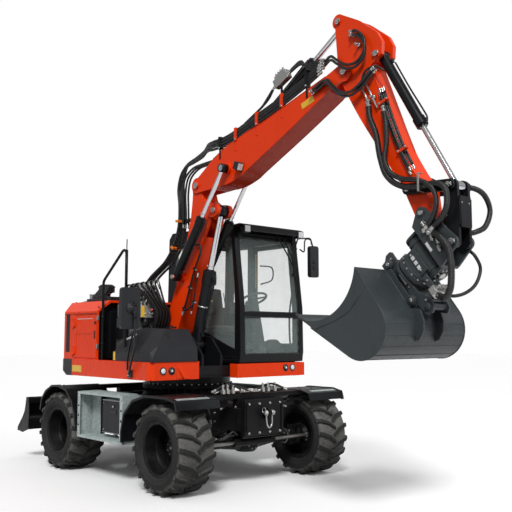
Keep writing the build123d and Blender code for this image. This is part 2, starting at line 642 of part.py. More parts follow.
def deck_cover():
    """Black deck top: service cover with a slotted grille and the pre-cleaner bowl."""
    cover = flat(rounded(30, (-1180, -880), (-560, -880), (-560, -420), (-1180, -420)),
                 HOOD_TOP + FIT, HOOD_TOP + 46)
    for i in range(4):
        for j in range(3):
            cover -= box(-1000 + 95 * i, -935 + 95 * i, -800 + 90 * j, -745 + 90 * j,
                         HOOD_TOP + 20, HOOD_TOP + 60)
    stem = Pos(-1180, -560, HOOD_TOP + 77) * Cylinder(55, 140)
    bowl = Pos(-1180, -560, HOOD_TOP + 190) * Cone(95, 120, 90)
    lid = Pos(-1180, -560, HOOD_TOP + 245) * Cone(120, 80, 30)
    foot = box(-1240, -1100, -640, -480, HOOD_TOP + FIT, HOOD_TOP + 20)
    return cover + stem + bowl + lid + foot


def exhaust():
    stack = Pos(-1330, -700, 2150) * Cylinder(38, 330)
    stack -= Pos(-1330, -700, 2250) * Cylinder(32, 240)
    muffler = Pos(-1330, -700, 1950) * Rot(90, 0, 0) * Cylinder(95, 300)
    strap = box(-1390, -1270, -720, -680, SKIRT_Z + 40 + FIT, 1880)
    return stack + muffler + strap


RAIL_R = 17.0
RAIL_X0 = -368.0
RAIL_X1 = 180.0
RAIL_Y = -1080.0
TANK_X0 = 25.0
TANK_X1 = 880.0
TANK_IN = -500.0


def tank_cover():
    """Faceted moulded cover over the tank, at the right front of the deck."""
    z0 = DECK_Z + FIT
    x0 = TANK_X0
    x1 = TANK_X1
    out = -HALF_W - 2
    body = box(x0, x1, out, TANK_IN, z0, 1850)
    front = slab(outline((x0, z0), (x1, z0), (x1 - 10, z0 + 165), (x1 - 190, 1812), (x0 + 190, 1830),
                         (x0, 1790)), out, TANK_IN)
    flank = Plane.YZ * outline((out, z0), (TANK_IN, z0), (TANK_IN, 1835), (out + 330, 1835),
                               (out + 4, z0 + 110))
    body = body & front & extrude(flank, 2000)
    cut = Plane(origin=(x1 - 60, out, z0 + 120), z_dir=(0.62, -0.62, 0.42))
    body -= cut * Pos(0, 0, 250) * Box(1600, 1600, 500)
    body -= Pos(560, -1010, 1700) * Rot(48, 0, 0) * Box(34, 80, 60)
    body -= Pos(RAIL_X1, RAIL_Y, 1800) * Cylinder(RAIL_R + FIT, 600)
    return body


def skirts():
    """Right and left deck skirts, each a folded plate with a chamfered top edge."""
    z0 = SKIRT_Z
    z1 = DECK_Z
    right = box(-994, 870, -HALF_W - 20, -HALF_W - 20 + SKIRT_T, z0, z1)
    right += box(870 - SKIRT_T, 870, -HALF_W - 20, -470, z0, z1)
    right += box(-994, 870, -HALF_W - 20, -HALF_W + 90, z1 - 12, z1)
    right += box(740, 870, -HALF_W - 20, -470, z1 - 12, z1)
    corner = Plane(origin=(870, -HALF_W - 20, (z0 + z1) / 2), z_dir=(1, -1, 0))
    right -= corner * Pos(0, 0, 200 - 45) * Box(400, 400, 400)
    right += (corner * Pos(0, 0, -45 - SKIRT_T / 2) * Box(124, 200, SKIRT_T)) & box(
        0, 871, -HALF_W - 21, 0, z0, z1)
    for y in LAMP_Y_RIGHT:
        right -= Pos(870, y, LAMP_Z) * Rot(0, 90, 0) * Cylinder(LAMP_R, 200)
    left = box(1000 - SKIRT_T, 1000, 20, 1170, z0, z1 - 40)
    left += box(-994, 1000, 1170 - SKIRT_T, 1170, z0, z1 - 40)
    left += box(852, 1000, 20, 20 + SKIRT_T, z0, z1 - 40)
    for y in LAMP_Y_LEFT:
        left -= Pos(1000, y, LAMP_Z) * Rot(0, 90, 0) * Cylinder(LAMP_R, 200)
    return [right, left]


def work_lamps():
    """Round lamps let into the skirts."""
    lamps = []
    for x, places in ((870, LAMP_Y_RIGHT), (1000, LAMP_Y_LEFT)):
        for y in places:
            bowl = Pos(x - 9, y, LAMP_Z) * Rot(0, 90, 0) * Cylinder(LAMP_R - FIT, 30)
            lamps.append(bowl)
    return lamps


def valve_block():
    """Control valves between tank and engine bay, with their row of connector stubs."""
    x0 = -330
    x1 = 10
    body = box(x0, x1, -900, -480, SKIRT_Z + 40 + FIT, 1960)
    manifold = box(x0 + 20, x1 - 40, -860, -480, 1955, 2150)
    stubs = []
    for i in range(5):
        for j in range(3):
            stubs.append(Pos(x0 + 70 + 105 * j, -820 + 72 * i, 2180) * Cylinder(17, 80))
    return body + manifold + stubs


def deck_rail():
    """Looped handrail over the deck, from the skirt to the tank cover."""
    route = [(RAIL_X0, RAIL_Y, DECK_Z + FIT), (RAIL_X0, RAIL_Y, 2430),
             (RAIL_X1, RAIL_Y, 2850), (RAIL_X1, RAIL_Y, 1520)]
    return tube_route(route, [90, 60], 2 * RAIL_R)


def right_mirror():
    pole = tube_route([(470, -1195, 1290), (560, -1235, 1400), (725, -1290, 1600),
                       (725, -1290, 2130)], [60, 60], 26)
    foot = box(430, 510, -1195, -HALF_W - 20 - FIT, 1250, 1330)
    head = face_on(rounded(40, (-1460, 1810), (-1210, 1810), (-1200, 2290), (-1450, 2290)),
                   640, 705)
    stay = box(700, 730, -1320, -1270, 1990, 2070)
    return pole + foot + head + stay


# Cab: a hollow frame of posts with its windows cut
def cab_side(inset):
    """Side outline of the cab, drawn in x and z, shrunk by inset."""
    d = inset
    return outline((CAB_X0 + d, CAB_Z0 + d), (CAB_X1 - 20 - d, CAB_Z0 + d), (CAB_X1 - d, 1520),
                   (CAB_X1 - 10 - d, 2100), (CAB_X1 - 140 - d, CAB_TOP - 70), (780, CAB_TOP - d),
                   (CAB_X0 + 90 + d, CAB_TOP - d), (CAB_X0 + 20 + d, CAB_TOP - 90),
                   (CAB_X0 + d, 2200))


def right_window():
    return outline((-420, 2000), (880, 1560), (880, 2300), (800, 3000), (-430, 3000))


def left_window():
    return outline((-480, 2150), (-90, 2150), (-90, 3000), (-440, 3000))


def cab_frame():
    shell = slab(cab_side(0), CAB_IN, CAB_OUT)
    shell = chamfer(shell.edges().filter_by(Axis.Y).sort_by(Axis.Z)[-2:], 12)
    shell -= slab(cab_side(POST * 0.75), CAB_IN + POST * 0.8, CAB_OUT - POST * 0.8)
    # windscreen, rear window, roof hatch
    shell -= box(700, 1200, CAB_IN + POST, CAB_OUT - POST, 1500, 1980)
    shell -= box(700, 1200, CAB_IN + POST, CAB_OUT - POST, 2030, 2990)
    shell -= box(-800, -400, CAB_IN + POST, CAB_OUT - POST, 2150, 2990)
    shell -= box(-100, 500, CAB_IN + 200, CAB_OUT - 200, 3000, 3300)
    # right side window
    shell -= slab(right_window(), CAB_IN - 10, CAB_IN + 100)
    # left rear window and door opening
    shell -= slab(left_window(), CAB_OUT - 100, CAB_OUT + 10)
    shell -= slab(outline((DOOR_X0, DOOR_Z0), (DOOR_X1, DOOR_Z0), (DOOR_X1, 2100),
                          (DOOR_X1 - 100, DOOR_Z1), (DOOR_X0, DOOR_Z1)),
                  CAB_OUT - 100, CAB_OUT + 10)
    # roof plate and front hood over the windscreen
    visor = slab(outline((760, CAB_TOP - 5), (860, CAB_TOP - 60), (880, CAB_TOP - 120),
                         (830, CAB_TOP - 140)), CAB_IN + 20, CAB_OUT - 20)
    feet = [box(x, x + 80, y, y + 60, DECK_Z - 40 + FIT, CAB_Z0 + 5)
            for x in (-540, 820) for y in (130, 1040)]
    lamps = [box(846, 884, y - 38, y + 38, 2985, 3061) for y in (CAB_IN + 70, CAB_OUT - 70)]
    return shell + visor + feet + lamps + cab_hinge()[2]


def cab_hinge():
    spot = Pos(DOOR_X0, CAB_OUT + HINGE_OUT, 0) * Rot(0, 0, 180)
    return hinge(spot, (1640, 2700), (-50, 0, -4, 13), (0, 50, -4, 13))


def cab_glass():
    """Panes of the cab, set 14 mm into their openings."""
    wall = cab_side(16) - cab_side(16 + GLASS)
    y0 = CAB_IN + POST + FIT
    y1 = CAB_OUT - POST - FIT
    low = slab(wall & outline((900, 1501), (1100, 1501), (1100, 1979), (900, 1979)), y0, y1)
    high = slab(wall & outline((830, 2031), (1100, 2031), (1100, 2989), (780, 2989)), y0, y1)
    rear = slab(wall & outline((-700, 2151), (-500, 2151), (-500, 2989), (-700, 2989)), y0, y1)
    hatch = box(FIT - 100, 500 - FIT, CAB_IN + 200 + FIT, CAB_OUT - 200 - FIT,
                CAB_TOP - 22, CAB_TOP - 16)
    right = slab(offset(right_window(), amount=-FIT), CAB_IN + 14, CAB_IN + 14 + GLASS)
    left = slab(offset(left_window(), amount=-FIT), CAB_OUT - 20, CAB_OUT - 14)
    return [low, high, rear, hatch, right, left]


def cab_door():
    """Door frame with its window opening, rear hinge barrels and front handle."""
    g = RUN
    panel = slab(rounded(30, (DOOR_X0 + g, DOOR_Z0 + g), (DOOR_X1 - g, DOOR_Z0 + g),
                         (DOOR_X1 - g, 2100), (DOOR_X1 - 100 - g, DOOR_Z1 - g),
                         (DOOR_X0 + g, DOOR_Z1 - g)), CAB_OUT - DOOR_T, CAB_OUT)
    panel -= slab(rounded(40, (DOOR_X0 + 65, 1620), (DOOR_X1 - 60, 1620), (DOOR_X1 - 60, 2100),
                          (DOOR_X1 - 155, DOOR_Z1 - 60), (DOOR_X0 + 65, DOOR_Z1 - 60)),
                  CAB_OUT - DOOR_T - 5, CAB_OUT + 5)
    grip = box(DOOR_X1 - 55, DOOR_X1 - 20, CAB_OUT - 1, CAB_OUT + 24, 1900, 2060)
    gains, bores, _ = cab_hinge()
    return panel + grip + gains - bores


def door_glass():
    pane = slab(rounded(39, (DOOR_X0 + 66, 1621), (DOOR_X1 - 61, 1621), (DOOR_X1 - 61, 2100),
                        (DOOR_X1 - 156, DOOR_Z1 - 61), (DOOR_X0 + 66, DOOR_Z1 - 61)),
                CAB_OUT - 26, CAB_OUT - 26 + GLASS)
    return pane


SEAT_X = -90.0
SEAT_Y = (CAB_IN + CAB_OUT) / 2


def seat():
    floor = CAB_Z0 + POST * 0.75 + FIT
    base = box(SEAT_X - 200, SEAT_X + 200, SEAT_Y - 190, SEAT_Y + 190, floor, 1760)
    cushion = Pos(SEAT_X + 20, SEAT_Y, 1815) * Box(500, 500, 112)
    cushion = fillet(cushion.edges().filter_by(Axis.Z), 70)
    back = slab(rounded(40, (-330, 1830), (-190, 1800), (-290, 2430), (-400, 2430)),
                SEAT_Y - 230, SEAT_Y + 230)
    rest = slab(rounded(25, (-410, 2440), (-330, 2440), (-345, 2640), (-415, 2640)),
                SEAT_Y - 130, SEAT_Y + 130)
    neck = slab(outline((-380, 2400), (-350, 2400), (-360, 2460), (-390, 2460)),
                SEAT_Y - 60, SEAT_Y + 60)
    return base + cushion + back + neck + rest


def console():
    """Side consoles with their levers, the steering column and its wheel."""
    floor = CAB_Z0 + POST * 0.75 + FIT
    parts = []
    for s in (-1, 1):
        y = SEAT_Y + s * 330
        pod = slab(rounded(20, (-330, 1980), (150, 2010), (170, 2070), (-330, 2060)),
                   y - 60, y + 60)
        leg = slab(outline((-300, floor), (-160, floor), (-60, 2000), (-300, 2000)),
                   y - 50, y + 50)
        lever = Pos(90, y, 2110) * Cylinder(16, 110)
        knob = Pos(90, y, 2190) * Sphere(34)
        parts.append(pod + leg + lever + knob)
    column = slab(outline((700, floor), (820, floor), (640, 2205), (560, 2195)),
                  SEAT_Y - 45, SEAT_Y + 45)
    tilt = Plane(origin=(590, SEAT_Y, 2215), z_dir=(-0.42, 0, 0.91))
    wheel = tilt * Torus(185, 15)
    hub = tilt * Cylinder(48, 50)
    spokes = [tilt * Rot(0, 0, a) * Pos(92, 0, 0) * Box(184, 30, 14) for a in (60, 180, 300)]
    parts.append(column + wheel + hub + spokes)
    pedals = [box(700, 800, SEAT_Y + s * 130 - 45, SEAT_Y + s * 130 + 45, floor, floor + 60)
              for s in (-1, 1)]
    return parts + pedals


def left_mirror():
    """Left mirror on its looped arm at the cab's front post."""
    root = CAB_X1 - 165
    head_x = CAB_X1 - 50
    arm = tube_route([(root, CAB_OUT + 16, 2930), (root + 10, CAB_OUT + 60, 3060),
                      (head_x - 10, CAB_OUT + 210, 3070), (head_x, CAB_OUT + 250, 2940)],
                     [35, 35], 20)
    pad = box(root - 30, root + 25, CAB_OUT + FIT, CAB_OUT + 22, 2880, 2960)
    head = face_on(rounded(35, (CAB_OUT + 170, 2530), (CAB_OUT + 330, 2530),
                           (CAB_OUT + 330, 2960), (CAB_OUT + 170, 2960)),
                   head_x - 30, head_x + 30)
    return arm + pad + head


# Boom, arm and their cylinders
LOW_W = 240.0              # lower boom, width
TOP_W = 280.0              # upper boom, over its side plates
ARM_W = 220.0
SKIN = 14.0
ADJUST_OFF = 222.0         # adjusting cylinders, either side of the boom


def boxed(shape, width, cap):
    """A welded box section: side outline, overall width, and its plate thickness."""
    y0 = BOOM_Y - width / 2
    y1 = BOOM_Y + width / 2
    return slab(shape, y0, y1) - slab(offset(shape, amount=-cap), y0 + cap, y1 - cap)


def lower_boom():
    """Box section that leans forward, with ears for the main cylinder's rod."""
    shape = outline((-120, 1600), (-60, 1800), (190, 2255), (400, 2750), (545, 3204),
                    (590, 3560), (740, 3560), (790, 3420), (900, 3340), (905, 3150),
                    (800, 2950), (675, 2690), (551, 2400), (275, 1800), (140, 1600))
    shape = shape + disc(FOOT_PIN, 120) + disc(KNEE_PIN, 92)
    body = boxed(shape, LOW_W, SKIN)
    ear = link((820, 3270), MAIN_EYE, 95, 82)
    gap = 140
    ears = twin(ear, BOOM_Y, gap, (LOW_W - gap) / 2)
    # the rod leaves between the ears; its slot runs on down the front of the section
    share = 430 / gap_of(MAIN_EYE, MAIN_FOOT)
    down = (MAIN_EYE[0] + (MAIN_FOOT[0] - MAIN_EYE[0]) * share,
            MAIN_EYE[1] + (MAIN_FOOT[1] - MAIN_EYE[1]) * share)
    body -= slab(link(MAIN_EYE, down, 185, 100), BOOM_Y - gap / 2, BOOM_Y + gap / 2)
    body += ears
    body += pin(MAIN_EYE, 34, BOOM_Y - LOW_W / 2 - 12, BOOM_Y - gap / 2 - 0)
    body += pin(MAIN_EYE, 34, BOOM_Y + gap / 2, BOOM_Y + LOW_W / 2 + 12)
    body -= pin(FOOT_PIN, 35 + FIT, BOOM_Y - 200, BOOM_Y + 200)
    sleeve = pin(FOOT_PIN, 60, BOOM_Y - LOW_W / 2, BOOM_Y + LOW_W / 2)
    body += sleeve - pin(FOOT_PIN, 35 + FIT, BOOM_Y - 200, BOOM_Y + 200)
    collar = pin(KNEE_PIN, 62, BOOM_Y - LOW_W / 2, BOOM_Y + LOW_W / 2)
    body += collar
    body -= pin(KNEE_PIN, 36 + FIT, BOOM_Y - 200, BOOM_Y + 200)
    body += pin(ADJUST_FOOT, 30, BOOM_Y - ADJUST_OFF - 58, BOOM_Y + ADJUST_OFF + 58)
    for s in (-1, 1):
        y0 = BOOM_Y + s * LOW_W / 2
        step = 46
        body += pin(ADJUST_FOOT, 58, min(y0, y0 + s * step), max(y0, y0 + s * step))
    return body


def upper_boom():
    """Banana-shaped box section with forked ends for the knee pin and the arm."""
    y0 = BOOM_Y - TOP_W / 2
    y1 = BOOM_Y + TOP_W / 2
    shape = outline((600, 3530), (600, 3640), (1011, 3890), (1400, 4045), (1900, 4150),
                    (2916, 4430), (3110, 4500), (3250, 4470), (3250, 4350), (3071, 4300),
                    (2913, 4243), (2377, 3980), (1670, 3656), (1566, 3604), (1352, 3545),
                    (1146, 3528), (679, 3512))
    shape = shape + disc(KNEE_PIN, 98) + disc(ARM_PIN, 105)
    body = slab(shape, y0, y1)
    core = offset(shape, amount=-SKIN)
    body -= slab(core, y0 + SKIN, y1 - SKIN)
    rear_gap = shape & outline((500, 3300), (930, 3300), (980, 3700), (900, 3790), (500, 3790))
    body -= slab(rear_gap, y0 + SKIN, y1 - SKIN)
    tip_gap = disc(ARM_PIN, 268)
    body -= slab(tip_gap, y0 + 20, y1 - 20)
    body += pin(KNEE_PIN, 36, y0 - 18, y1 + 18)
    body += pin(ARM_PIN, 34, y0 - 18, y1 + 18)
    wall = slab(outline((985, 3545), (1000, 3545), (1000, 3868), (985, 3862)) & shape,
                y0 + 2, y1 - 2)
    body += wall
    end_wall = slab(outline((2885, 4235), (2900, 4240), (2900, 4440), (2885, 4436)) & shape,
                    y0 + 2, y1 - 2)
    body += end_wall
    for s in (-1, 1):
        a = BOOM_Y + s * TOP_W / 2
        b = BOOM_Y + s * (ADJUST_OFF - 48)
        body += pin(ADJUST_EYE, 62, min(a, b), max(a, b))
    foot_lugs = twin(link(ARM_CYL_FOOT, (1600, 4040), 62, 120), BOOM_Y, 144, 26)
    foot_lugs -= slab(offset(shape, amount=-4), y0, y1)
    body += foot_lugs
    body += pin(ARM_CYL_FOOT, 32, BOOM_Y - 106, BOOM_Y + 106)
    return body


ARM_HEAD_GAP = 130.0


def arm():
    """Box section arm: head plates above the boom's tip, a boss for the hitch below."""
    y0 = BOOM_Y - ARM_W / 2
    y1 = BOOM_Y + ARM_W / 2
    shape = outline((3030, 4960), (3115, 5050), (3348, 4915), (3590, 4715), (3650, 4600),
                    (3640, 4480), (3500, 4400), (3862, 3480), (4031, 3198), (4130, 3040),
                    (4150, 2900), (4010, 2800), (3831, 3177), (3571, 3572), (3364, 3885),
                    (3205, 4159), (3075, 4400))
    shape = shape + disc(ARM_PIN, 100) + disc(TIP_PIN, 82) + disc(ARM_CYL_EYE, 78)
    body = slab(shape, y0, y1)
    core = offset(shape, amount=-SKIN) & outline((2900, 4640), (3800, 4300), (3800, 4000),
                                                 (4100, 3300), (4200, 3000), (3700, 2900),
                                                 (3000, 4000), (2900, 4300))
    body -= slab(core, y0 + SKIN, y1 - SKIN)
    # between the head plates: room for the two cylinder eyes
    room = outline((2900, 5200), (3900, 5200), (3900, 4380), (3480, 4395), (3300, 4590),
                   (2900, 4620))
    body -= slab(room, BOOM_Y - ARM_HEAD_GAP / 2, BOOM_Y + ARM_HEAD_GAP / 2)
    web = slab(outline((3290, 4600), (3480, 4400), (3494, 4414), (3304, 4614)) & shape,
               y0 + 2, y1 - 2)
    body += web
    body -= pin(ARM_PIN, 34 + FIT, y0 - 50, y1 + 50)
    body += pin(ARM_PIN, 60, y0, y1) - pin(ARM_PIN, 34 + FIT, y0 - 50, y1 + 50)
    for place in (ARM_CYL_EYE, BUCKET_CYL_FOOT):
        for s in (-1, 1):
            a = BOOM_Y + s * ARM_HEAD_GAP / 2
            b = BOOM_Y + s * (ARM_W / 2 + 14)
            body += pin(place, 30, min(a, b), max(a, b))
    body += pin(BUCKET_CYL_FOOT, 28, BOOM_Y - 70, BOOM_Y + 70)
    # tip: boss for the hitch pin and a cross bore for the rocker
    body += pin(TIP_PIN, 58, y0 + 10, y1 - 10)
    body -= box(3700, 4300, y0 - 1, y0 + 10, 2600, 3180)
    body -= box(3700, 4300, y1 - 10, y1 + 1, 2600, 3180)
    body -= pin(TIP_PIN, PIN_D / 2 + FIT, y0 - 50, y1 + 50)
    body += pin(ROCKER_PIN, 26, y0 - 34, y1 + 34)
    return body


ROCKER_OFF = 116.0


def rocker():
    """Pair of rocker bars on the arm's pin; each carries a stub for the push link."""
    bar = link(ROCKER_PIN, LINK_PIN, 52, 52)
    bars = []
    for s in (-1, 1):
        near, far = sorted((BOOM_Y + s * ROCKER_OFF, BOOM_Y + s * (ROCKER_OFF + 24)))
        body = slab(bar, near, far) - pin(ROCKER_PIN, 26 + FIT, near - 10, far + 10)
        near, far = sorted((BOOM_Y + s * 56, BOOM_Y + s * (ROCKER_OFF + 34)))
        bars.append(body + pin(LINK_PIN, 26, near, far))
    return bars


def push_link():
    """Black push link with its cover plate, from the rocker's end to the hitch."""
    bar = link(LINK_PIN, HITCH_REAR, 62, 56)
    near = slab(bar, BOOM_Y - 100, BOOM_Y - 66)
    far = slab(bar, BOOM_Y + 66, BOOM_Y + 100)
    body = near + far
    bridge = slab(outline((4372, 2960), (4470, 2960), (4478, 2680), (4380, 2680)),
                  BOOM_Y - 80, BOOM_Y + 80)
    body += bridge
    body -= pin(LINK_PIN, 26 + FIT, BOOM_Y - 200, BOOM_Y + 200)
    return body


# Tilting and turning coupler, drawn in its own frame: u along the tilt axis, v away from
# the bucket, both about the tilt axis' middle
def tool_plane(y):
    a = math.radians(TILT_SLOPE)
    return Plane(origin=(TILT_CENTRE[0], y, TILT_CENTRE[1]), x_dir=(math.cos(a), 0, math.sin(a)),
                 z_dir=(0, -1, 0))


def tool_slab(shape, y0, y1):
    return extrude(tool_plane(BOOM_Y + y1) * shape, y1 - y0)


def in_tool(place):
    """A pin given as (x, z), in the tool's frame as (u, v)."""
    a = math.radians(TILT_SLOPE)
    dx = place[0] - TILT_CENTRE[0]
    dz = place[1] - TILT_CENTRE[1]
    return (dx * math.cos(a) + dz * math.sin(a), -dx * math.sin(a) + dz * math.cos(a))


def tool_along_u(u, v, radius, length):
    """A cylinder along the tilt axis, starting at u."""
    shape = Pos(u + length / 2, v, 0) * Rot(0, 90, 0) * Cylinder(radius, length)
    return tool_plane(BOOM_Y) * shape


def tool_along_v(u, v, radius, length):
    """A cylinder along the turn axis, from v downwards by length."""
    shape = Pos(u, v - length / 2, 0) * Rot(90, 0, 0) * Cylinder(radius, length)
    return tool_plane(BOOM_Y) * shape


def tool_box(u0, u1, v0, v1, y0, y1):
    return tool_slab(outline((u0, v0), (u1, v0), (u1, v1), (u0, v1)), y0, y1)


CHEEK_U = (-262.0, 172.0)  # the hitch's two cheeks along the tilt axis
CHEEK_T = 26.0
ACT_R = 88.0
SPIGOT_R = 100.0           # turning plate's spigot in the gearbox


def hitch_bracket():
    """Bracket pinned to arm and push link; its cheeks carry the tilt actuator."""
    a = in_tool(TIP_PIN)
    b = in_tool(HITCH_REAR)
    plate = make_hull(disc(a, 58).edges() + disc(b, 58).edges()
                      + outline((-290, 108), (200, 108), (200, 140), (-290, 140)).edges())
    gap = 212
    body = tool_slab(plate, -gap / 2 - 28, -gap / 2) + tool_slab(plate, gap / 2, gap / 2 + 28)
    body += tool_box(-290, 200, 104, 134, -134, 134)
    for u in CHEEK_U:
        cheek = tool_plane(BOOM_Y) * Pos(u + CHEEK_T / 2, 0, 0) * Rot(0, 90, 0) * Cylinder(
            96, CHEEK_T)
        body += cheek + tool_box(u, u + CHEEK_T, 0, 110, -96, 96)
        body -= tool_along_u(u - 10, 0, 40 + FIT, CHEEK_T + 20)
    body += tool_slab(disc(a, PIN_D / 2), -gap / 2 - 40, gap / 2 + 40)
    for s in (-1, 1):
        near, far = sorted((s * gap / 2, s * (gap / 2 + 42)))
        body += tool_slab(disc(b, PIN_D / 2 + 6), near, far)
    return body


def tilt_unit():
    """Rotary tilt actuator on the turning gearbox's housing."""
    u0 = CHEEK_U[0] + CHEEK_T + 6
    u1 = CHEEK_U[1] - 6
    body = tool_along_u(u0, 0, ACT_R, u1 - u0)
    body += tool_along_u(CHEEK_U[0] - 14, 0, 40, CHEEK_U[1] + CHEEK_T + 14 - CHEEK_U[0] + 14)
    for u in (u0 + 26, u1 - 56):
        body += tool_along_u(u, 0, ACT_R + 7, 30)
    body += tool_box(-150, 110, -140, -20, -100, 100)
    body += tool_along_v(0, -128, 178, 84)
    body += tool_along_v(0, -150, 196, 40)
    body += tool_box(-120, 60, -200, -120, 150, 214)
    body -= tool_along_v(0, -186, SPIGOT_R + FIT, 60)
    return body


HOOK_U = 395.0
HOOK_V = -205.0


def pin_places():
    half = PIN_SPREAD / 2
    return [(PIN_SHIFT - half, -TURN_DROP), (PIN_SHIFT + half, -TURN_DROP)]


def quick_coupler():
    """Turning plate and the coupler's cheeks, which hook over the two bucket pins."""
    a, b = pin_places()
    plate = outline((-285, -222), (210, -222), (330, -150), (430, -160), (465, -215),
                    (400, -275), (300, -290), (300, -350), (200, -350), (150, -300),
                    (-120, -300), (-140, -350), (-235, -350), (-285, -290))
    plate = fillet(plate.vertices(), 22)
    body = tool_slab(plate, -130, -104) + tool_slab(plate, 104, 130)
    body += tool_along_v(0, -218, 190, 26) + tool_along_v(0, -188, SPIGOT_R, 40)
    body += tool_box(-200, 250, -262, -240, -110, 110)
    body += tool_box(330, 356, -262, -180, -110, 110)
    body += tool_slab(disc((HOOK_U, HOOK_V), 30), -142, 142)
    for place in (a, b):
        body -= tool_slab(disc(place, PIN_D / 2 + FIT), -200, 200)
    return body


BUCKET_W = 1200.0
BELLY_R = 286.0
SHEET = 12.0
EAR_IN = 136.0             # inner face of the bucket's ears, from the middle plane
EAR_T = 25.0


def bucket_side(inset):
    """Closed side outline of the bucket in (u, v), shrunk by inset."""
    top = -TURN_DROP - 56
    cu = PIN_SHIFT + 275
    cv = top - BELLY_R
    r = BELLY_R - inset
    tip = (PIN_SHIFT - 257, -TURN_DROP - 890)
    slope = math.radians(-66.1)
    low = (cu + r * math.cos(slope), cv + r * math.sin(slope))
    turn = (math.cos(slope + math.pi / 2), math.sin(slope + math.pi / 2))
    reach = gap_of(low, tip)
    end = (low[0] - turn[0] * (reach + 80), low[1] - turn[1] * (reach + 80))
    start = (PIN_SHIFT - 420, top - inset)
    path = (Line(start, (cu, cv + r)) + RadiusArc((cu, cv + r), low, r)
            + Line(low, end) + Line(end, start))
    return make_face(path)


def bucket():
    """Wide grading bucket: bent sheet, side plates with a hollow mouth edge, ears and pins."""
    half = BUCKET_W / 2
    top = -TURN_DROP - 56
    outer = tool_slab(bucket_side(0), -half, half)
    inner = tool_slab(bucket_side(SHEET), -half + SHEET, half - SHEET)
    shell = outer - inner
    tip = (PIN_SHIFT - 257, -TURN_DROP - 890)
    lip = (PIN_SHIFT - 200, top)
    mouth = make_face(Line(tip, (-1200, tip[1])) + Line((-1200, tip[1]), (-1200, top + 100))
                      + Line((-1200, top + 100), (lip[0], top + 100))
                      + Line((lip[0], top + 100), lip)
                      + ThreePointArc(lip, (PIN_SHIFT - 30, -TURN_DROP - 430), tip))
    shell -= tool_slab(mouth, -half - 5, half + 5)
    blade = tool_slab(outline(tip, (tip[0] + 150, tip[1] + 66), (tip[0] + 142, tip[1] + 86),
                              (tip[0] + 4, tip[1] + 26)), -half, half)
    shell += blade
    a, b = pin_places()
    ear = ear_shape(a, b, top)
    ears = (tool_slab(ear, -EAR_IN - EAR_T, -EAR_IN) + tool_slab(ear, EAR_IN, EAR_IN + EAR_T))
    shell += ears
    for place in (a, b):
        shell += tool_slab(disc(place, PIN_D / 2), -EAR_IN - EAR_T - 16, EAR_IN + EAR_T + 16)
        shell += (tool_slab(disc(place, 40), -EAR_IN - EAR_T - 10, -EAR_IN)
                  + tool_slab(disc(place, 40), EAR_IN, EAR_IN + EAR_T + 10))
    return shell


def ear_shape(a, b, top):
    """Side outline of the bucket's ears, standing on the top sheet."""
    foot = outline((a[0] - 40, top - 2), (b[0] + 30, top - 2), (b[0] + 48, a[1]),
                   (a[0] - 46, a[1]))
    return foot + disc(a, 48) + disc(b, 48)


# Dozer blade
def blade():
    sheet_line = Polyline(aft(-985, 862), aft(-1005, 760), aft(-1025, 680), aft(-1085, 590),
                          aft(-1165, 510), aft(-1245, 425))
    sheet = slab(trace(sheet_line, 18), -BLADE_HALF, BLADE_HALF)
    edge = slab(outline(aft(-1263, 392), aft(-1125, 520), aft(-1113, 506), aft(-1225, 385)),
                -BLADE_HALF, BLADE_HALF)
    cheek = outline(aft(-985, 862), aft(-915, 870), aft(-900, 640), aft(-900, 430),
                    aft(-1099, 372), aft(-1245, 392), aft(-1235, 425), aft(-1155, 512),
                    aft(-1075, 592), aft(-1015, 680), aft(-995, 760))
    cheeks = [slab(cheek, y - 8, y + 8) 
              for y in (10 - BLADE_HALF, 610 - BLADE_HALF, BLADE_HALF - 610, BLADE_HALF - 10)]
    tube_low = slab(outline(aft(-1055, 430), aft(-905, 430), aft(-905, 560), aft(-1055, 560)),
                    -BLADE_HALF, BLADE_HALF)
    tube_low -= slab(outline(aft(-1045, 440), aft(-915, 440), aft(-915, 550), aft(-1045, 550)),
                     -BLADE_HALF + 10, BLADE_HALF - 10)
    tube_top = slab(outline(aft(-1000, 780), aft(-920, 790), aft(-915, 860), aft(-990, 860)),
                    -BLADE_HALF, BLADE_HALF)
    lugs = []
    for s in (-1, 1):
        for off in (-45, 45):
            y = s * LIFT_Y + off
            lugs.append(slab(link(ARM_END, aft(-935, 490), 40, 60), y - 8, y + 8))
        for off in (-35, 35):
            y = s * LINK_Y + off
            lugs.append(slab(outline(aft(-905, 555), aft(-883, 650), aft(-895, 712), aft(-975, 725),
                                     aft(-1025, 650), aft(-1025, 555)), y - 8, y + 8))
        lugs.append(pin(ARM_END, 18, s * LIFT_Y - 60, s * LIFT_Y + 60))
        lugs.append(pin(LINK_END, 18, s * LINK_Y - 48, s * LINK_Y + 48))
    lug_web = [slab(outline(aft(-1020, 640), aft(-1000, 640), aft(-975, 720), aft(-990, 720)),
                    -200, 200)]
    return sheet + edge + cheeks + tube_low + tube_top + lugs + lug_web


def blade_arms():
    bars = []
    for s in (-1, 1):
        bar = link(ARM_ROOT, ARM_END, 38, 34) + link(aft(-675, 500), LIFT_EYE, 26, 34)
        y = s * LIFT_Y
        body = slab(bar, y - 30, y + 30)
        body -= pin(ARM_ROOT, 20 + FIT, y - 100, y + 100)
        body -= pin(ARM_END, 18 + FIT, y - 100, y + 100)
        body -= slab(disc(LIFT_EYE, 48), y - 20, y + 20)
        bars.append(body)
    brace = box(REAR_X - 585, REAR_X - 525, -270, 270, 470, 520)
    return bars[0] + bars[1] + brace


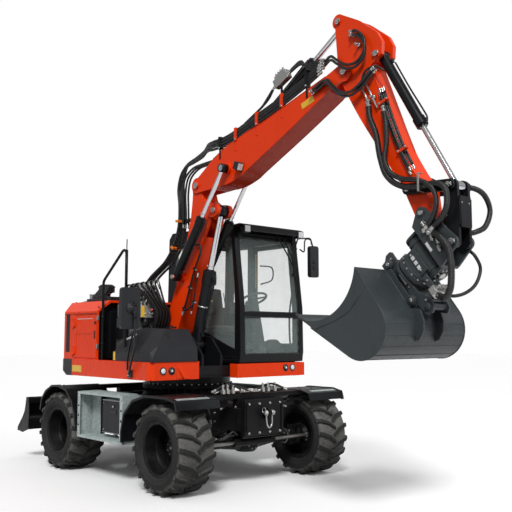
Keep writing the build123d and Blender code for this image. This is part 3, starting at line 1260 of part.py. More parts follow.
def blade_links():
    bars = []
    for s in (-1, 1):
        y = s * LINK_Y
        bar = slab(link(LINK_ROOT, LINK_END, 34, 32), y - 22, y + 22)
        bar -= pin(LINK_ROOT, 20 + FIT, y - 100, y + 100)
        bar -= pin(LINK_END, 18 + FIT, y - 100, y + 100)
        bars.append(bar)
    return bars


LIFT = dict(bore=30, rod=18, strokes=(10, 212), head=40, widths=(70, 30), ends=(32, 30))
MAIN = dict(bore=62, rod=37, strokes=(420, 330), head=170, widths=(120, 120), ends=(85, 72))
ADJUST = dict(bore=44, rod=26, strokes=(430, 260), head=70, widths=(84, 84), ends=(52, 50))
ARM_CYL = dict(bore=48, rod=30, strokes=(300, 500), head=80, widths=(132, 96), ends=(58, 60))
BUCKET_CYL = dict(bore=42, rod=27, strokes=(535, 215), head=90, widths=(100, 100),
                  ends=(54, 52))


def build():
    pieces = {}
    pieces["chassis_frame"] = chassis_frame()
    pieces["front_axle"] = front_axle()
    pieces["rear_axle"] = rear_axle()
    left_knuckle = knuckle()
    pieces["knuckle_left"] = left_knuckle
    pieces["knuckle_right"] = mirror_y(left_knuckle)
    pieces["steering_rod"] = steering_rod()
    fender_set = fenders()
    pieces["fenders"] = Compound(fender_set)
    pieces["step_right"] = step_box()
    pieces["step_left"] = mirror_y(pieces["step_right"])
    right_tyre = tyre()
    right_rim = rim()
    left_tyre = mirror_y(right_tyre)
    left_rim = mirror_y(right_rim)
    for end, x in (("front", FRONT_X), ("rear", REAR_X)):
        near = Pos(x, -TRACK / 2, AXLE_Z)
        far = Pos(x, TRACK / 2, AXLE_Z)
        pieces[f"tyre_{end}_right"] = near * right_tyre
        pieces[f"rim_{end}_right"] = near * right_rim
        pieces[f"tyre_{end}_left"] = far * left_tyre
        pieces[f"rim_{end}_left"] = far * left_rim
    pieces["blade"] = blade()
    pieces["blade_arms"] = blade_arms()
    pieces["blade_links"] = Compound(blade_links())
    lifts = [barrel_and_rod(LIFT_FOOT, LIFT_EYE, s * LIFT_Y, **LIFT) for s in (-1, 1)]
    lift_hole = pin(LIFT_FOOT, 20 + FIT, -500, 500)
    pieces["blade_barrels"] = Compound([pair[0] - lift_hole for pair in lifts])
    pieces["blade_rods"] = Compound([pair[1] for pair in lifts])
    pieces["turntable"] = turntable()
    pieces["counterweight"] = counterweight()
    pieces["hood"] = hood()
    pieces["side_door"] = side_door()
    pieces["rear_door"] = rear_door()
    pieces["engine"] = engine()
    pieces["deck_cover"] = deck_cover()
    pieces["exhaust"] = exhaust()
    pieces["tank_cover"] = tank_cover()
    pieces["skirts"] = Compound(skirts())
    pieces["work_lamps"] = Compound(work_lamps())
    pieces["valve_block"] = valve_block()
    pieces["deck_rail"] = deck_rail()
    pieces["right_mirror"] = right_mirror()
    pieces["left_mirror"] = left_mirror()
    pieces["cab_frame"] = cab_frame()
    pieces["cab_glass"] = Compound(cab_glass())
    pieces["cab_door"] = cab_door()
    pieces["door_glass"] = door_glass()
    pieces["seat"] = seat()
    pieces["console"] = Compound(console())
    pieces["lower_boom"] = lower_boom()
    main = barrel_and_rod(MAIN_FOOT, MAIN_EYE, BOOM_Y, **MAIN)
    pieces["main_barrel"] = main[0] - pin(MAIN_FOOT, 35 + FIT, -500, 500)
    pieces["main_rod"] = main[1]
    pieces["upper_boom"] = upper_boom()
    adjust = [barrel_and_rod(ADJUST_FOOT, ADJUST_EYE, BOOM_Y + s * ADJUST_OFF, **ADJUST)
              for s in (-1, 1)]
    foot_hole = pin(ADJUST_FOOT, 30 + FIT, -700, 300)
    pieces["adjust_barrels"] = Compound([pair[0] - foot_hole for pair in adjust])
    pieces["adjust_rods"] = Compound([pair[1] for pair in adjust])
    pieces["arm"] = arm()
    arm_cyl = barrel_and_rod(ARM_CYL_FOOT, ARM_CYL_EYE, BOOM_Y, **ARM_CYL)
    pieces["arm_barrel"] = arm_cyl[0] - pin(ARM_CYL_FOOT, 32 + FIT, -500, 500)
    pieces["arm_rod"] = arm_cyl[1]
    bucket_cyl = barrel_and_rod(BUCKET_CYL_FOOT, LINK_PIN, BOOM_Y, **BUCKET_CYL)
    pieces["bucket_barrel"] = bucket_cyl[0] - pin(BUCKET_CYL_FOOT, 28 + FIT, -500, 500)
    pieces["bucket_rod"] = bucket_cyl[1]
    pieces["rocker"] = Compound(rocker())
    pieces["push_link"] = push_link()
    pieces["hitch_bracket"] = hitch_bracket()
    pieces["tilt_unit"] = tilt_unit()
    pieces["quick_coupler"] = quick_coupler()
    pieces["bucket"] = bucket()
    return pieces


if __name__ == "__main__":
    os.makedirs("parts", exist_ok=True)
    for name, shape in build().items():
        placed = Pos(SWING_X, 0, 0) * shape
        export_step(placed, f"parts/{name}.step")
        solids = placed.solids()
        print(name, len(solids), "solids", round(sum(s.volume for s in solids) / 1e9, 5), "m3")
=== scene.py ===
"""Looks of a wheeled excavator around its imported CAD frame: finishes, tread, hoses, lamps,
glazing trim, fasteners, cab fittings and the studio."""
from math import cos, exp, hypot, pi, radians, sin

import bmesh
import bpy
from bpy.props import (FloatProperty, FloatVectorProperty, IntProperty, PointerProperty)
from mathutils import Matrix, Vector


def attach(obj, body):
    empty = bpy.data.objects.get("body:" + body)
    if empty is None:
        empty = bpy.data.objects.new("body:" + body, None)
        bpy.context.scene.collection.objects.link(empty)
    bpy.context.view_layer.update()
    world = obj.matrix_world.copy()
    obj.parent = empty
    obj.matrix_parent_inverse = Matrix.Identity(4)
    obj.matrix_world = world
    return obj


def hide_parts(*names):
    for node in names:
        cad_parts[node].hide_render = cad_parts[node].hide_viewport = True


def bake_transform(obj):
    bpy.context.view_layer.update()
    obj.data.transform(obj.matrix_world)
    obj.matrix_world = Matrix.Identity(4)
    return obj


bl_info = {
    "name": "Wheeled excavator looks",
    "version": (1, 0, 0),
    "blender": (4, 5, 0),
    "location": "View3D > Sidebar > Excavator",
    "description": "Builds the finishes and fittings of a wheeled excavator on its frame",
    "category": "Object",
}

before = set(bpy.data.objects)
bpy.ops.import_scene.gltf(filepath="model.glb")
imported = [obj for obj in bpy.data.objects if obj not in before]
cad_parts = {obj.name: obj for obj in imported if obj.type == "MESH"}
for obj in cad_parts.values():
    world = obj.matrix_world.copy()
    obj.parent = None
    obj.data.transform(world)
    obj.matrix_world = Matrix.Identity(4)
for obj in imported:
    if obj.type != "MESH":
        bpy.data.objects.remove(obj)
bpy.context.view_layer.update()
SWING_X = -1.02           # swing axis, measured from the origin
BOOM_Y = -0.25            # middle plane of boom, arm and bucket
MAIN_HEAD = (1.0, 3.26)  # pins of the boom's and arm's linkage: x and height
ADJUST_FOOT = (0.372, 2.471)
ADJUST_HEAD = (1.311, 3.713)
ADJUST_Y = 0.222           # adjusting cylinders, either side of the middle plane
ARM_CYLINDER_FOOT = (1.78, 4.195)
ARM_CYLINDER_HEAD = (3.074, 4.985)
BUCKET_CYLINDER_FOOT = (3.57, 4.5)
ROCKER_PIN = (4.39, 3.06)
AXLE_Z = 0.5
WHEEL_X = 1.175            # axles, either side of the swing axis
WHEEL_Y = 1.05
CAB_IN, CAB_OUT = 0.08, 1.17
X, Y, Z = Vector((1, 0, 0)), Vector((0, 1, 0)), Vector((0, 0, 1))


def at(x, y, z):
    """A place measured from the swing axis, as a point of the row frame."""
    return Vector((x + SWING_X, y, z))


def point(place):
    """A vector of the row frame as it is, or three numbers measured from the swing axis."""
    return place if isinstance(place, Vector) else at(*place)


# Settings
class ExcavatorColours(bpy.types.PropertyGroup):
    body: FloatVectorProperty(name="Body paint", description="Orange-red paint of the machine",
        subtype="COLOR", size=3, min=0, max=1, default=(0.84, 0.046, 0.002))
    black: FloatVectorProperty(name="Black paint", description="Black paint of frame and cab",
        subtype="COLOR", size=3, min=0, max=1, default=(0.0065, 0.007, 0.0085))
    plastic: FloatVectorProperty(name="Moulded plastic", description="Covers and mirrors", subtype="COLOR",
        size=3, min=0, max=1, default=(0.015, 0.016, 0.0195))
    tool: FloatVectorProperty(name="Tool paint", description="Grey paint of bucket and coupler",
        subtype="COLOR", size=3, min=0, max=1, default=(0.036, 0.045, 0.048))
    rubber: FloatVectorProperty(name="Rubber", description="Tread rubber of the tyres", subtype="COLOR",
        size=3, min=0, max=1, default=(0.011, 0.011, 0.0115))
    dust: FloatVectorProperty(name="Dust", description="Dry soil on paint and metal", subtype="COLOR",
        size=3, min=0, max=1, default=(0.105, 0.098, 0.084))


class ExcavatorSizes(bpy.types.PropertyGroup):
    hose: FloatProperty(name="Hose", description="Outer diameter of the main hoses", default=0.034,
        min=0.015, max=0.06, unit="LENGTH", subtype="DISTANCE")
    pipe: FloatProperty(name="Pipe", description="Outer diameter of the steel pipes", default=0.026,
        min=0.01, max=0.05, unit="LENGTH", subtype="DISTANCE")
    lugs: IntProperty(name="Tyre lugs", description="Chevron lugs on each side of a tyre", default=18,
        min=12, max=30)
    lug_depth: FloatProperty(name="Lug depth", description="Height of a lug over the tread", default=0.032,
        min=0.01, max=0.05, unit="LENGTH", subtype="DISTANCE")


class ExcavatorStudio(bpy.types.PropertyGroup):
    floor: FloatVectorProperty(name="Floor", description="Pale studio floor", subtype="COLOR", size=3,
        min=0, max=1, default=(1.0, 1.0, 1.0))
    key: FloatProperty(name="Key light", description="Strength of the key lamp", default=2.5, min=0.0,
        max=20.0)
    sky: FloatProperty(name="Sky", description="Strength of the soft surrounding light", default=0.5,
        min=0.0, max=5.0)
    lens: FloatProperty(name="Lens", description="Focal length in millimetres", default=53.58, min=20,
        max=200)


# Shader groups
def new_group(name, inputs, outputs):
    tree = bpy.data.node_groups.new(name, "ShaderNodeTree")
    for label, kind, value in inputs:
        socket = tree.interface.new_socket(label, in_out="INPUT", socket_type=kind)
        if value is not None:
            socket.default_value = value
    for label, kind in outputs:
        tree.interface.new_socket(label, in_out="OUTPUT", socket_type=kind)
    return tree, tree.nodes.new("NodeGroupInput"), tree.nodes.new("NodeGroupOutput")


class Wires:
    """Short calls that add nodes to a tree and join them."""

    def __init__(self, tree):
        self.tree = tree

    def add(self, kind, **fields):
        node = self.tree.nodes.new(kind)
        for key, value in fields.items():
            setattr(node, key, value)
        return node

    def join(self, source, target):
        self.tree.links.new(source, target)

    def feed(self, socket, value):
        if isinstance(value, bpy.types.NodeSocket):
            self.join(value, socket)
        else:
            socket.default_value = value

    def fill(self, node, **values):
        """Sets or joins the inputs of a node by their names, with _ for a space."""
        for name, value in values.items():
            self.feed(node.inputs[name.replace("_", " ")], value)
        return node

    def group(self, name, **values):
        return self.fill(self.add("ShaderNodeGroup", node_tree=GROUPS[name]), **values)

    def math(self, operation, a, b=0.0, clamp=False):
        node = self.add("ShaderNodeMath", operation=operation, use_clamp=clamp)
        self.feed(node.inputs[0], a)
        self.feed(node.inputs[1], b)
        return node.outputs[0]

    def times(self, a, b, clamp=False):
        return self.math("MULTIPLY", a, b, clamp)

    def plus(self, a, b, clamp=False):
        return self.math("ADD", a, b, clamp)

    def scaled(self, colour, level):
        node = self.add("ShaderNodeVectorMath", operation="SCALE")
        self.join(colour, node.inputs[0])
        return self.fill(node, Scale=level).outputs[0]

    def ramp(self, value, low, high):
        node = self.add("ShaderNodeMapRange", clamp=True, interpolation_type="SMOOTHSTEP")
        return self.fill(node, Value=value, From_Min=low, From_Max=high).outputs["Result"]

    def mix(self, share, a, b):
        node = self.add("ShaderNodeMix", data_type="RGBA")
        self.feed(node.inputs[0], share)
        self.feed(node.inputs[6], a)
        self.feed(node.inputs[7], b)
        return node.outputs[2]

    def noise(self, vector, scale, detail=3.0, rough=0.55):
        node = self.add("ShaderNodeTexNoise")
        self.fill(node, Vector=vector, Scale=scale, Detail=detail, Roughness=rough)
        return node.outputs["Fac"]

    def place(self):
        return self.add("ShaderNodeTexCoord").outputs["Object"]


F, V, C = "NodeSocketFloat", "NodeSocketVector", "NodeSocketColor"
GROUPS = {}


def edge_group():
    """Mask of worn edges, where the softened normal leaves the face's own."""
    tree, inp, out = new_group("edge wear", [("Width", F, 0.006), ("Grain", F, 60.0), ("Amount", F, 0.5)],
        [("Mask", F), ("Normal", V)])
    w = Wires(tree)
    bevel = w.add("ShaderNodeBevel", samples=4)
    w.join(inp.outputs["Width"], bevel.inputs["Radius"])
    plain = w.add("ShaderNodeNewGeometry").outputs["Normal"]
    dot = w.add("ShaderNodeVectorMath", operation="DOT_PRODUCT")
    w.join(bevel.outputs[0], dot.inputs[0])
    w.join(plain, dot.inputs[1])
    away = w.ramp(w.math("SUBTRACT", 1.0, dot.outputs["Value"]), 0.02, 0.14)
    chip = w.ramp(w.noise(w.place(), inp.outputs["Grain"], 4.0), 0.5, 0.62)
    mask = w.times(w.times(away, chip), inp.outputs["Amount"], True)
    w.fill(out, Mask=mask, Normal=bevel.outputs[0])
    return tree


def dust_group():
    """Mask of dust that settles on what faces up, and low on the machine."""
    tree, inp, out = new_group("settled dust", [("Amount", F, 0.4), ("Height", F, 1.0), ("Scale", F, 7.0)],
        [("Mask", F)])
    w = Wires(tree)
    place = w.place()
    up = w.add("ShaderNodeSeparateXYZ")
    w.join(w.add("ShaderNodeNewGeometry").outputs["Normal"], up.inputs[0])
    high = w.add("ShaderNodeSeparateXYZ")
    w.join(place, high.inputs[0])
    low = w.math("SUBTRACT", 1.0, w.math("DIVIDE", high.outputs["Z"], inp.outputs["Height"]), True)
    top = w.ramp(up.outputs["Z"], 0.2, 0.95)
    cloud = w.ramp(w.noise(place, inp.outputs["Scale"], 5.0, 0.65), 0.36, 0.7)
    fine = w.noise(place, 90.0, 2.0)
    where = w.plus(w.times(top, 0.55), w.times(low, 0.75))
    mask = w.times(w.times(where, cloud), w.plus(fine, 0.4))
    w.join(w.times(mask, inp.outputs["Amount"], True), out.inputs["Mask"])
    return tree


def grain_group():
    """Height of a fine surface: orange peel in paint, leather grain in moulded plastic."""
    tree, inp, out = new_group("surface grain", [("Scale", F, 400.0), ("Cells", F, 0.0)], [("Height", F)])
    w = Wires(tree)
    place = w.place()
    soft = w.noise(place, inp.outputs["Scale"], 2.0)
    cells = w.add("ShaderNodeTexVoronoi", feature="F1")
    w.fill(cells, Vector=place, Scale=inp.outputs["Scale"])
    blend = w.times(cells.outputs["Distance"], inp.outputs["Cells"])
    w.join(w.plus(soft, blend), out.inputs["Height"])
    return tree


def fade_group():
    """A colour with slow variation and thin streaks of dirt that run down."""
    tree, inp, out = new_group("faded colour",
        [("Colour", C, (1, 1, 1, 1)), ("Variation", F, 0.12), ("Streaks", F, 0.1)],
        [("Colour", C), ("Roughness", F)])
    w = Wires(tree)
    place = w.place()
    slow = w.noise(place, 2.3, 4.0, 0.6)
    squeeze = w.add("ShaderNodeMapping")
    w.fill(squeeze, Scale=(26, 26, 1.6), Vector=place)
    run = w.ramp(w.noise(squeeze.outputs[0], 1.0, 3.0), 0.52, 0.72)
    level = w.plus(1.0, w.times(w.math("SUBTRACT", slow, 0.5), inp.outputs["Variation"]))
    level = w.math("SUBTRACT", level, w.times(run, inp.outputs["Streaks"]))
    w.fill(out, Colour=w.scaled(inp.outputs["Colour"], level),
        Roughness=w.plus(w.times(slow, 0.16), w.times(run, 0.12)))
    return tree


def weave_group():
    """Height and mask of a crossed weave."""
    tree, inp, out = new_group("weave", [("Scale", F, 300.0)], [("Height", F), ("Mask", F)])
    w = Wires(tree)
    place = w.place()
    waves = []
    for direction in ("X", "Z"):
        wave = w.add("ShaderNodeTexWave", wave_type="BANDS", bands_direction=direction)
        w.fill(wave, Vector=place, Scale=inp.outputs["Scale"], Distortion=0.4)
        waves.append(wave.outputs["Fac"])
    both = w.math("MAXIMUM", waves[0], waves[1])
    w.fill(out, Height=both, Mask=both)
    return tree


# Materials
def reopen(mat):
    """The wires and the shader of a material."""
    return Wires(mat.node_tree), mat.node_tree.nodes["Principled BSDF"]


def blank(name):
    """A new material with its wires and its shader."""
    mat = bpy.data.materials.new(name)
    mat.use_nodes = True
    return mat, *reopen(mat)


def new_object(name, data):
    obj = bpy.data.objects.new(name, data)
    bpy.context.scene.collection.objects.link(obj)
    return obj


def finish(name, colour, rough=0.4, metal=0.0, coat=0.0, wear=0.0, wear_colour=(0.22, 0.21, 0.2),
        wear_width=0.006, dust=0.0, dust_height=1.2, peel=500.0, cells=0.0, bump=0.05, vary=0.14,
        streaks=0.06, specular=0.5, sheen=0.0, weave=0.0):
    """A painted, moulded or metal surface with its own variation, wear, dust and grain."""
    mat, w, shader = blank(name)
    faded = w.group("fade", Colour=(*colour, 1), Variation=vary, Streaks=streaks)
    edge = w.group("edge", Width=wear_width, Amount=wear)
    base = faded.outputs["Colour"]
    roughness = w.plus(faded.outputs["Roughness"], rough - 0.1)
    if wear:
        base = w.mix(edge.outputs["Mask"], base, (*wear_colour, 1))
        roughness = w.plus(roughness, w.times(edge.outputs["Mask"], 0.2))
    if dust:
        film = w.group("dust", Amount=dust, Height=dust_height)
        soil = bpy.context.scene.excavator_colours.dust
        base = w.mix(film.outputs["Mask"], base, (*soil, 1))
        roughness = w.plus(roughness, w.times(film.outputs["Mask"], 0.5))
    grain = w.group("grain", Scale=peel, Cells=cells)
    height = grain.outputs["Height"]
    if weave:
        cloth = w.group("weave", Scale=weave)
        height = w.plus(height, cloth.outputs["Height"])
        base = w.mix(cloth.outputs["Mask"], (*[c * 0.45 for c in colour], 1), base)
    relief = w.add("ShaderNodeBump")
    w.fill(relief, Strength=min(1.0, bump * 4), Distance=0.0012, Height=height,
        Normal=edge.outputs["Normal"])
    w.fill(shader, Base_Color=base, Roughness=w.math("MINIMUM", w.math("MAXIMUM", roughness, 0.04), 1.0),
        Normal=relief.outputs[0], Metallic=metal, Coat_Weight=coat, Coat_Roughness=0.09,
        Specular_IOR_Level=specular, Sheen_Weight=sheen)
    return mat


def galvanised():
    """Hot-dipped steel with its spangle."""
    mat = finish("galvanised steel", (0.46, 0.53, 0.52), 0.44, 0.4, dust=0.3, dust_height=2.2, bump=0.05,
        vary=0.16)
    w, shader = reopen(mat)
    spangle = w.add("ShaderNodeTexVoronoi", feature="F1")
    w.fill(spangle, Scale=38.0, Vector=w.place())
    grey = w.add("ShaderNodeSeparateColor")
    w.join(spangle.outputs["Color"], grey.inputs[0])
    was = shader.inputs["Base Color"].links[0].from_socket
    level = w.plus(0.84, w.times(grey.outputs[0], 0.28))
    w.join(w.scaled(was, level), shader.inputs["Base Color"])
    return mat


def tyre_rubber():
    """Tread rubber: soil in the grooves, scuffed and dusty lugs, darker walls."""
    colours = bpy.context.scene.excavator_colours
    mat = finish("tyre rubber", tuple(colours.rubber), 0.78, dust=0.0, peel=160.0, cells=0.6, bump=0.12,
        vary=0.35, streaks=0.0, specular=0.3)
    w, shader = reopen(mat)
    place = w.place()
    depth = w.add("ShaderNodeAttribute", attribute_name="tread_depth")
    cloud = w.ramp(w.noise(place, 5.0, 5.0, 0.65), 0.2, 0.54)
    fine = w.ramp(w.noise(place, 45.0, 3.0, 0.6), 0.3, 0.7)
    share = w.times(w.times(depth.outputs["Fac"], cloud), w.plus(0.65, w.times(fine, 0.6)), True)
    was = shader.inputs["Base Color"].links[0].from_socket
    w.join(w.mix(share, was, (0.12, 0.118, 0.11, 1)), shader.inputs["Base Color"])
    return mat


def glass():
    mat, w, shader = blank("cab glass")
    film = w.group("dust", Amount=0.1, Height=6.0)
    w.fill(shader, Base_Color=w.mix(film.outputs["Mask"], (0.62, 0.76, 0.72, 1), (0.75, 0.75, 0.72, 1)),
        Alpha=w.plus(0.11, w.times(film.outputs["Mask"], 0.5)),
        Roughness=w.plus(0.02, w.times(film.outputs["Mask"], 0.4)), Specular_IOR_Level=0.6)
    return mat


def lens(name, colour):
    """A clear or tinted lamp lens with its fluted pattern."""
    mat = finish(name, colour, 0.12, 0.0, coat=1.0, peel=40.0, bump=0.02, vary=0.06, streaks=0.0)
    w, shader = reopen(mat)
    flute = w.add("ShaderNodeTexWave", wave_type="BANDS", bands_direction="DIAGONAL")
    w.fill(flute, Scale=40.0, Vector=w.place())
    bump = w.add("ShaderNodeBump")
    w.fill(bump, Strength=0.4, Distance=0.002, Height=flute.outputs["Fac"])
    w.join(bump.outputs[0], shader.inputs["Normal"])
    return mat


MATS = {}


def make_materials():
    c = bpy.context.scene.excavator_colours
    GROUPS.update(edge=edge_group(), dust=dust_group(), grain=grain_group(), fade=fade_group(),
        weave=weave_group())
    MATS.update(
        body=finish("body paint", tuple(c.body), 0.3, coat=0.08, wear=0.25, wear_colour=(0.26, 0.06, 0.03),
            dust=0.05, dust_height=1.9, bump=0.015, vary=0.1, streaks=0.05, specular=0.15),
        black=finish("black paint", tuple(c.black), 0.34, coat=0.03, wear=0.3, dust=0.06, dust_height=1.5,
            bump=0.03, vary=0.3, specular=0.16, wear_colour=(0.09, 0.09, 0.09)),
        chassis=finish("frame paint", (0.005, 0.005, 0.006), 0.45, wear=0.5,
            wear_colour=(0.07, 0.065, 0.06), dust=0.14, dust_height=1.5, bump=0.05, vary=0.4,
            specular=0.14),
        plastic=finish("moulded plastic", tuple(c.plastic), 0.5, dust=0.06, dust_height=3.0, peel=900.0,
            cells=1.4, bump=0.1, vary=0.1, streaks=0.03, specular=0.3),
        tool=finish("tool paint", tuple(c.tool), 0.42, wear=0.7, wear_colour=(0.16, 0.16, 0.155),
            wear_width=0.008, dust=0.1, dust_height=4.0, bump=0.04, vary=0.3, streaks=0.14, specular=0.35),
        cast=finish("cast weight", (0.009, 0.009, 0.01), 0.62, wear=0.5, dust=0.25, dust_height=2.0,
            peel=220.0, cells=1.0, bump=0.16),
        chrome=finish("chrome rod", (0.55, 0.55, 0.57), 0.16, 1.0, bump=0.01, peel=900.0, vary=0.05,
            streaks=0.02),
        zinc=finish("zinc plated steel", (0.4, 0.4, 0.385), 0.34, 0.9, wear=0.3, bump=0.04, dust=0.15,
            dust_height=1.4),
        steel=finish("worn steel", (0.22, 0.21, 0.2), 0.42, 0.85, wear=0.4, dust=0.3, dust_height=2.2,
            bump=0.08, vary=0.35, streaks=0.2),
        alloy=finish("valve castings", (0.17, 0.17, 0.165), 0.46, 0.7, dust=0.15, dust_height=3.0,
            bump=0.12, peel=260.0, vary=0.3),
        galvanised=galvanised(),
        rubber=tyre_rubber(),
        hose=finish("hose rubber", (0.006, 0.006, 0.0065), 0.42, bump=0.08, peel=700.0, cells=0.8,
            dust=0.04, dust_height=5.0, vary=0.3, specular=0.4),
        guard=finish("hose guard", (0.0035, 0.0035, 0.004), 0.46, bump=0.1, peel=300.0, dust=0.05,
            dust_height=5.0, vary=0.3),
        fabric=finish("seat cloth", (0.022, 0.023, 0.026), 0.85, sheen=0.3, weave=260.0, bump=0.2, vary=0.2,
            streaks=0.0),
        engine=finish("engine paint", (0.012, 0.012, 0.013), 0.5, 0.1, dust=0.12, dust_height=3.0,
            bump=0.08),
        yellow=finish("yellow marking", (0.8, 0.48, 0.02), 0.42, coat=0.3, bump=0.02, vary=0.08, wear=0.0),
        orange=finish("orange marking", (0.85, 0.2, 0.01), 0.42, coat=0.3, bump=0.02),
        white=finish("pale plate", (0.66, 0.67, 0.66), 0.42, coat=0.2, bump=0.02, vary=0.08),
        seal=finish("window seal", (0.007, 0.007, 0.008), 0.5, bump=0.05, peel=600.0),
        red=lens("red lens", (0.5, 0.008, 0.006)),
        lens=lens("clear lens", (0.8, 0.82, 0.84)),
        dark_lens=lens("dark lens", (0.018, 0.018, 0.02)),
        silver=finish("mirror silver", (0.8, 0.82, 0.84), 0.1, 1.0, bump=0.0, vary=0.02, streaks=0.0),
        # dark: near-black painted shade, put in openings, holes and a seam in place of the shade inside
        # them
        dark=finish("painted shade", (0.004, 0.004, 0.004), 0.8, bump=0.02),
        glass=glass())


# CAD nodes and their finishes
NODE_FINISH = {
    "body": ["hood", "side_door", "rear_door", "skirts", "lower_boom", "upper_boom", "arm"],
    "black": ["fenders", "blade", "blade_arms", "blade_barrels", "turntable", "deck_rail", "cab_frame",
        "cab_door", "rocker", "push_link", "main_barrel", "adjust_barrels", "arm_barrel", "bucket_barrel"],
    "chassis": ["chassis_frame", "front_axle", "rear_axle", "knuckle_left", "knuckle_right", "blade_links",
        "rim_front_left", "rim_front_right", "rim_rear_left", "rim_rear_right"],
    "plastic": ["tank_cover", "right_mirror", "left_mirror", "console", "deck_cover"],
    "tool": ["hitch_bracket", "tilt_unit", "quick_coupler", "bucket"],
    "cast": ["counterweight"],
    "chrome": ["blade_rods", "main_rod", "adjust_rods", "arm_rod", "bucket_rod", "exhaust"],
    "steel": ["steering_rod"],
    "galvanised": ["step_right", "step_left"],
    "alloy": ["valve_block"],
    "engine": ["engine"],
    "glass": ["cab_glass", "door_glass"],
    "fabric": ["seat"],
    "dark_lens": ["work_lamps"],
    "rubber": ["tyre_front_left", "tyre_front_right", "tyre_rear_left", "tyre_rear_right"],
}


def finish_nodes():
    for key, names in NODE_FINISH.items():
        for name in names:
            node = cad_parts[name]
            node.data.materials.clear()
            node.data.materials.append(MATS[key])
            weld = node.modifiers.new("weld", "WELD")
            weld.merge_threshold = 0.00002
            smooth_by_angle(node)


def smooth_by_angle(node, angle=32.0):
    """Rounds the shading of curved faces and keeps the creases between flat ones."""
    node.data.polygons.foreach_set("use_smooth", [True] * len(node.data.polygons))
    split = node.modifiers.new("edge split", "EDGE_SPLIT")
    split.split_angle = radians(angle)
    split.use_edge_sharp = False


# Shape tools
def frame_of(normal, hint=Z):
    """A rotation whose z axis is the normal."""
    z = Vector(normal).normalized()
    x = hint.cross(z)
    if x.length < 1e-4:
        x = X.cross(z)
    if x.length < 1e-4:
        x = Y.cross(z)
    x.normalize()
    return Matrix((x, z.cross(x), z)).transposed().to_4x4()


def curve_through(points, steps=8):
    """Points along a smooth line that passes through the given ones."""
    p = [point(q) for q in points]
    p = [p[0] * 2 - p[1]] + p + [p[-1] * 2 - p[-2]]
    line = []
    for i in range(1, len(p) - 2):
        a, b, c, d = p[i - 1:i + 3]
        for k in range(steps):
            t = k / steps
            line.append(0.5 * ((2 * b) + (c - a) * t + (2 * a - 5 * b + 4 * c - d) * t * t
                + (3 * b - a - 3 * c + d) * t * t * t))
    line.append(p[-2])
    return line


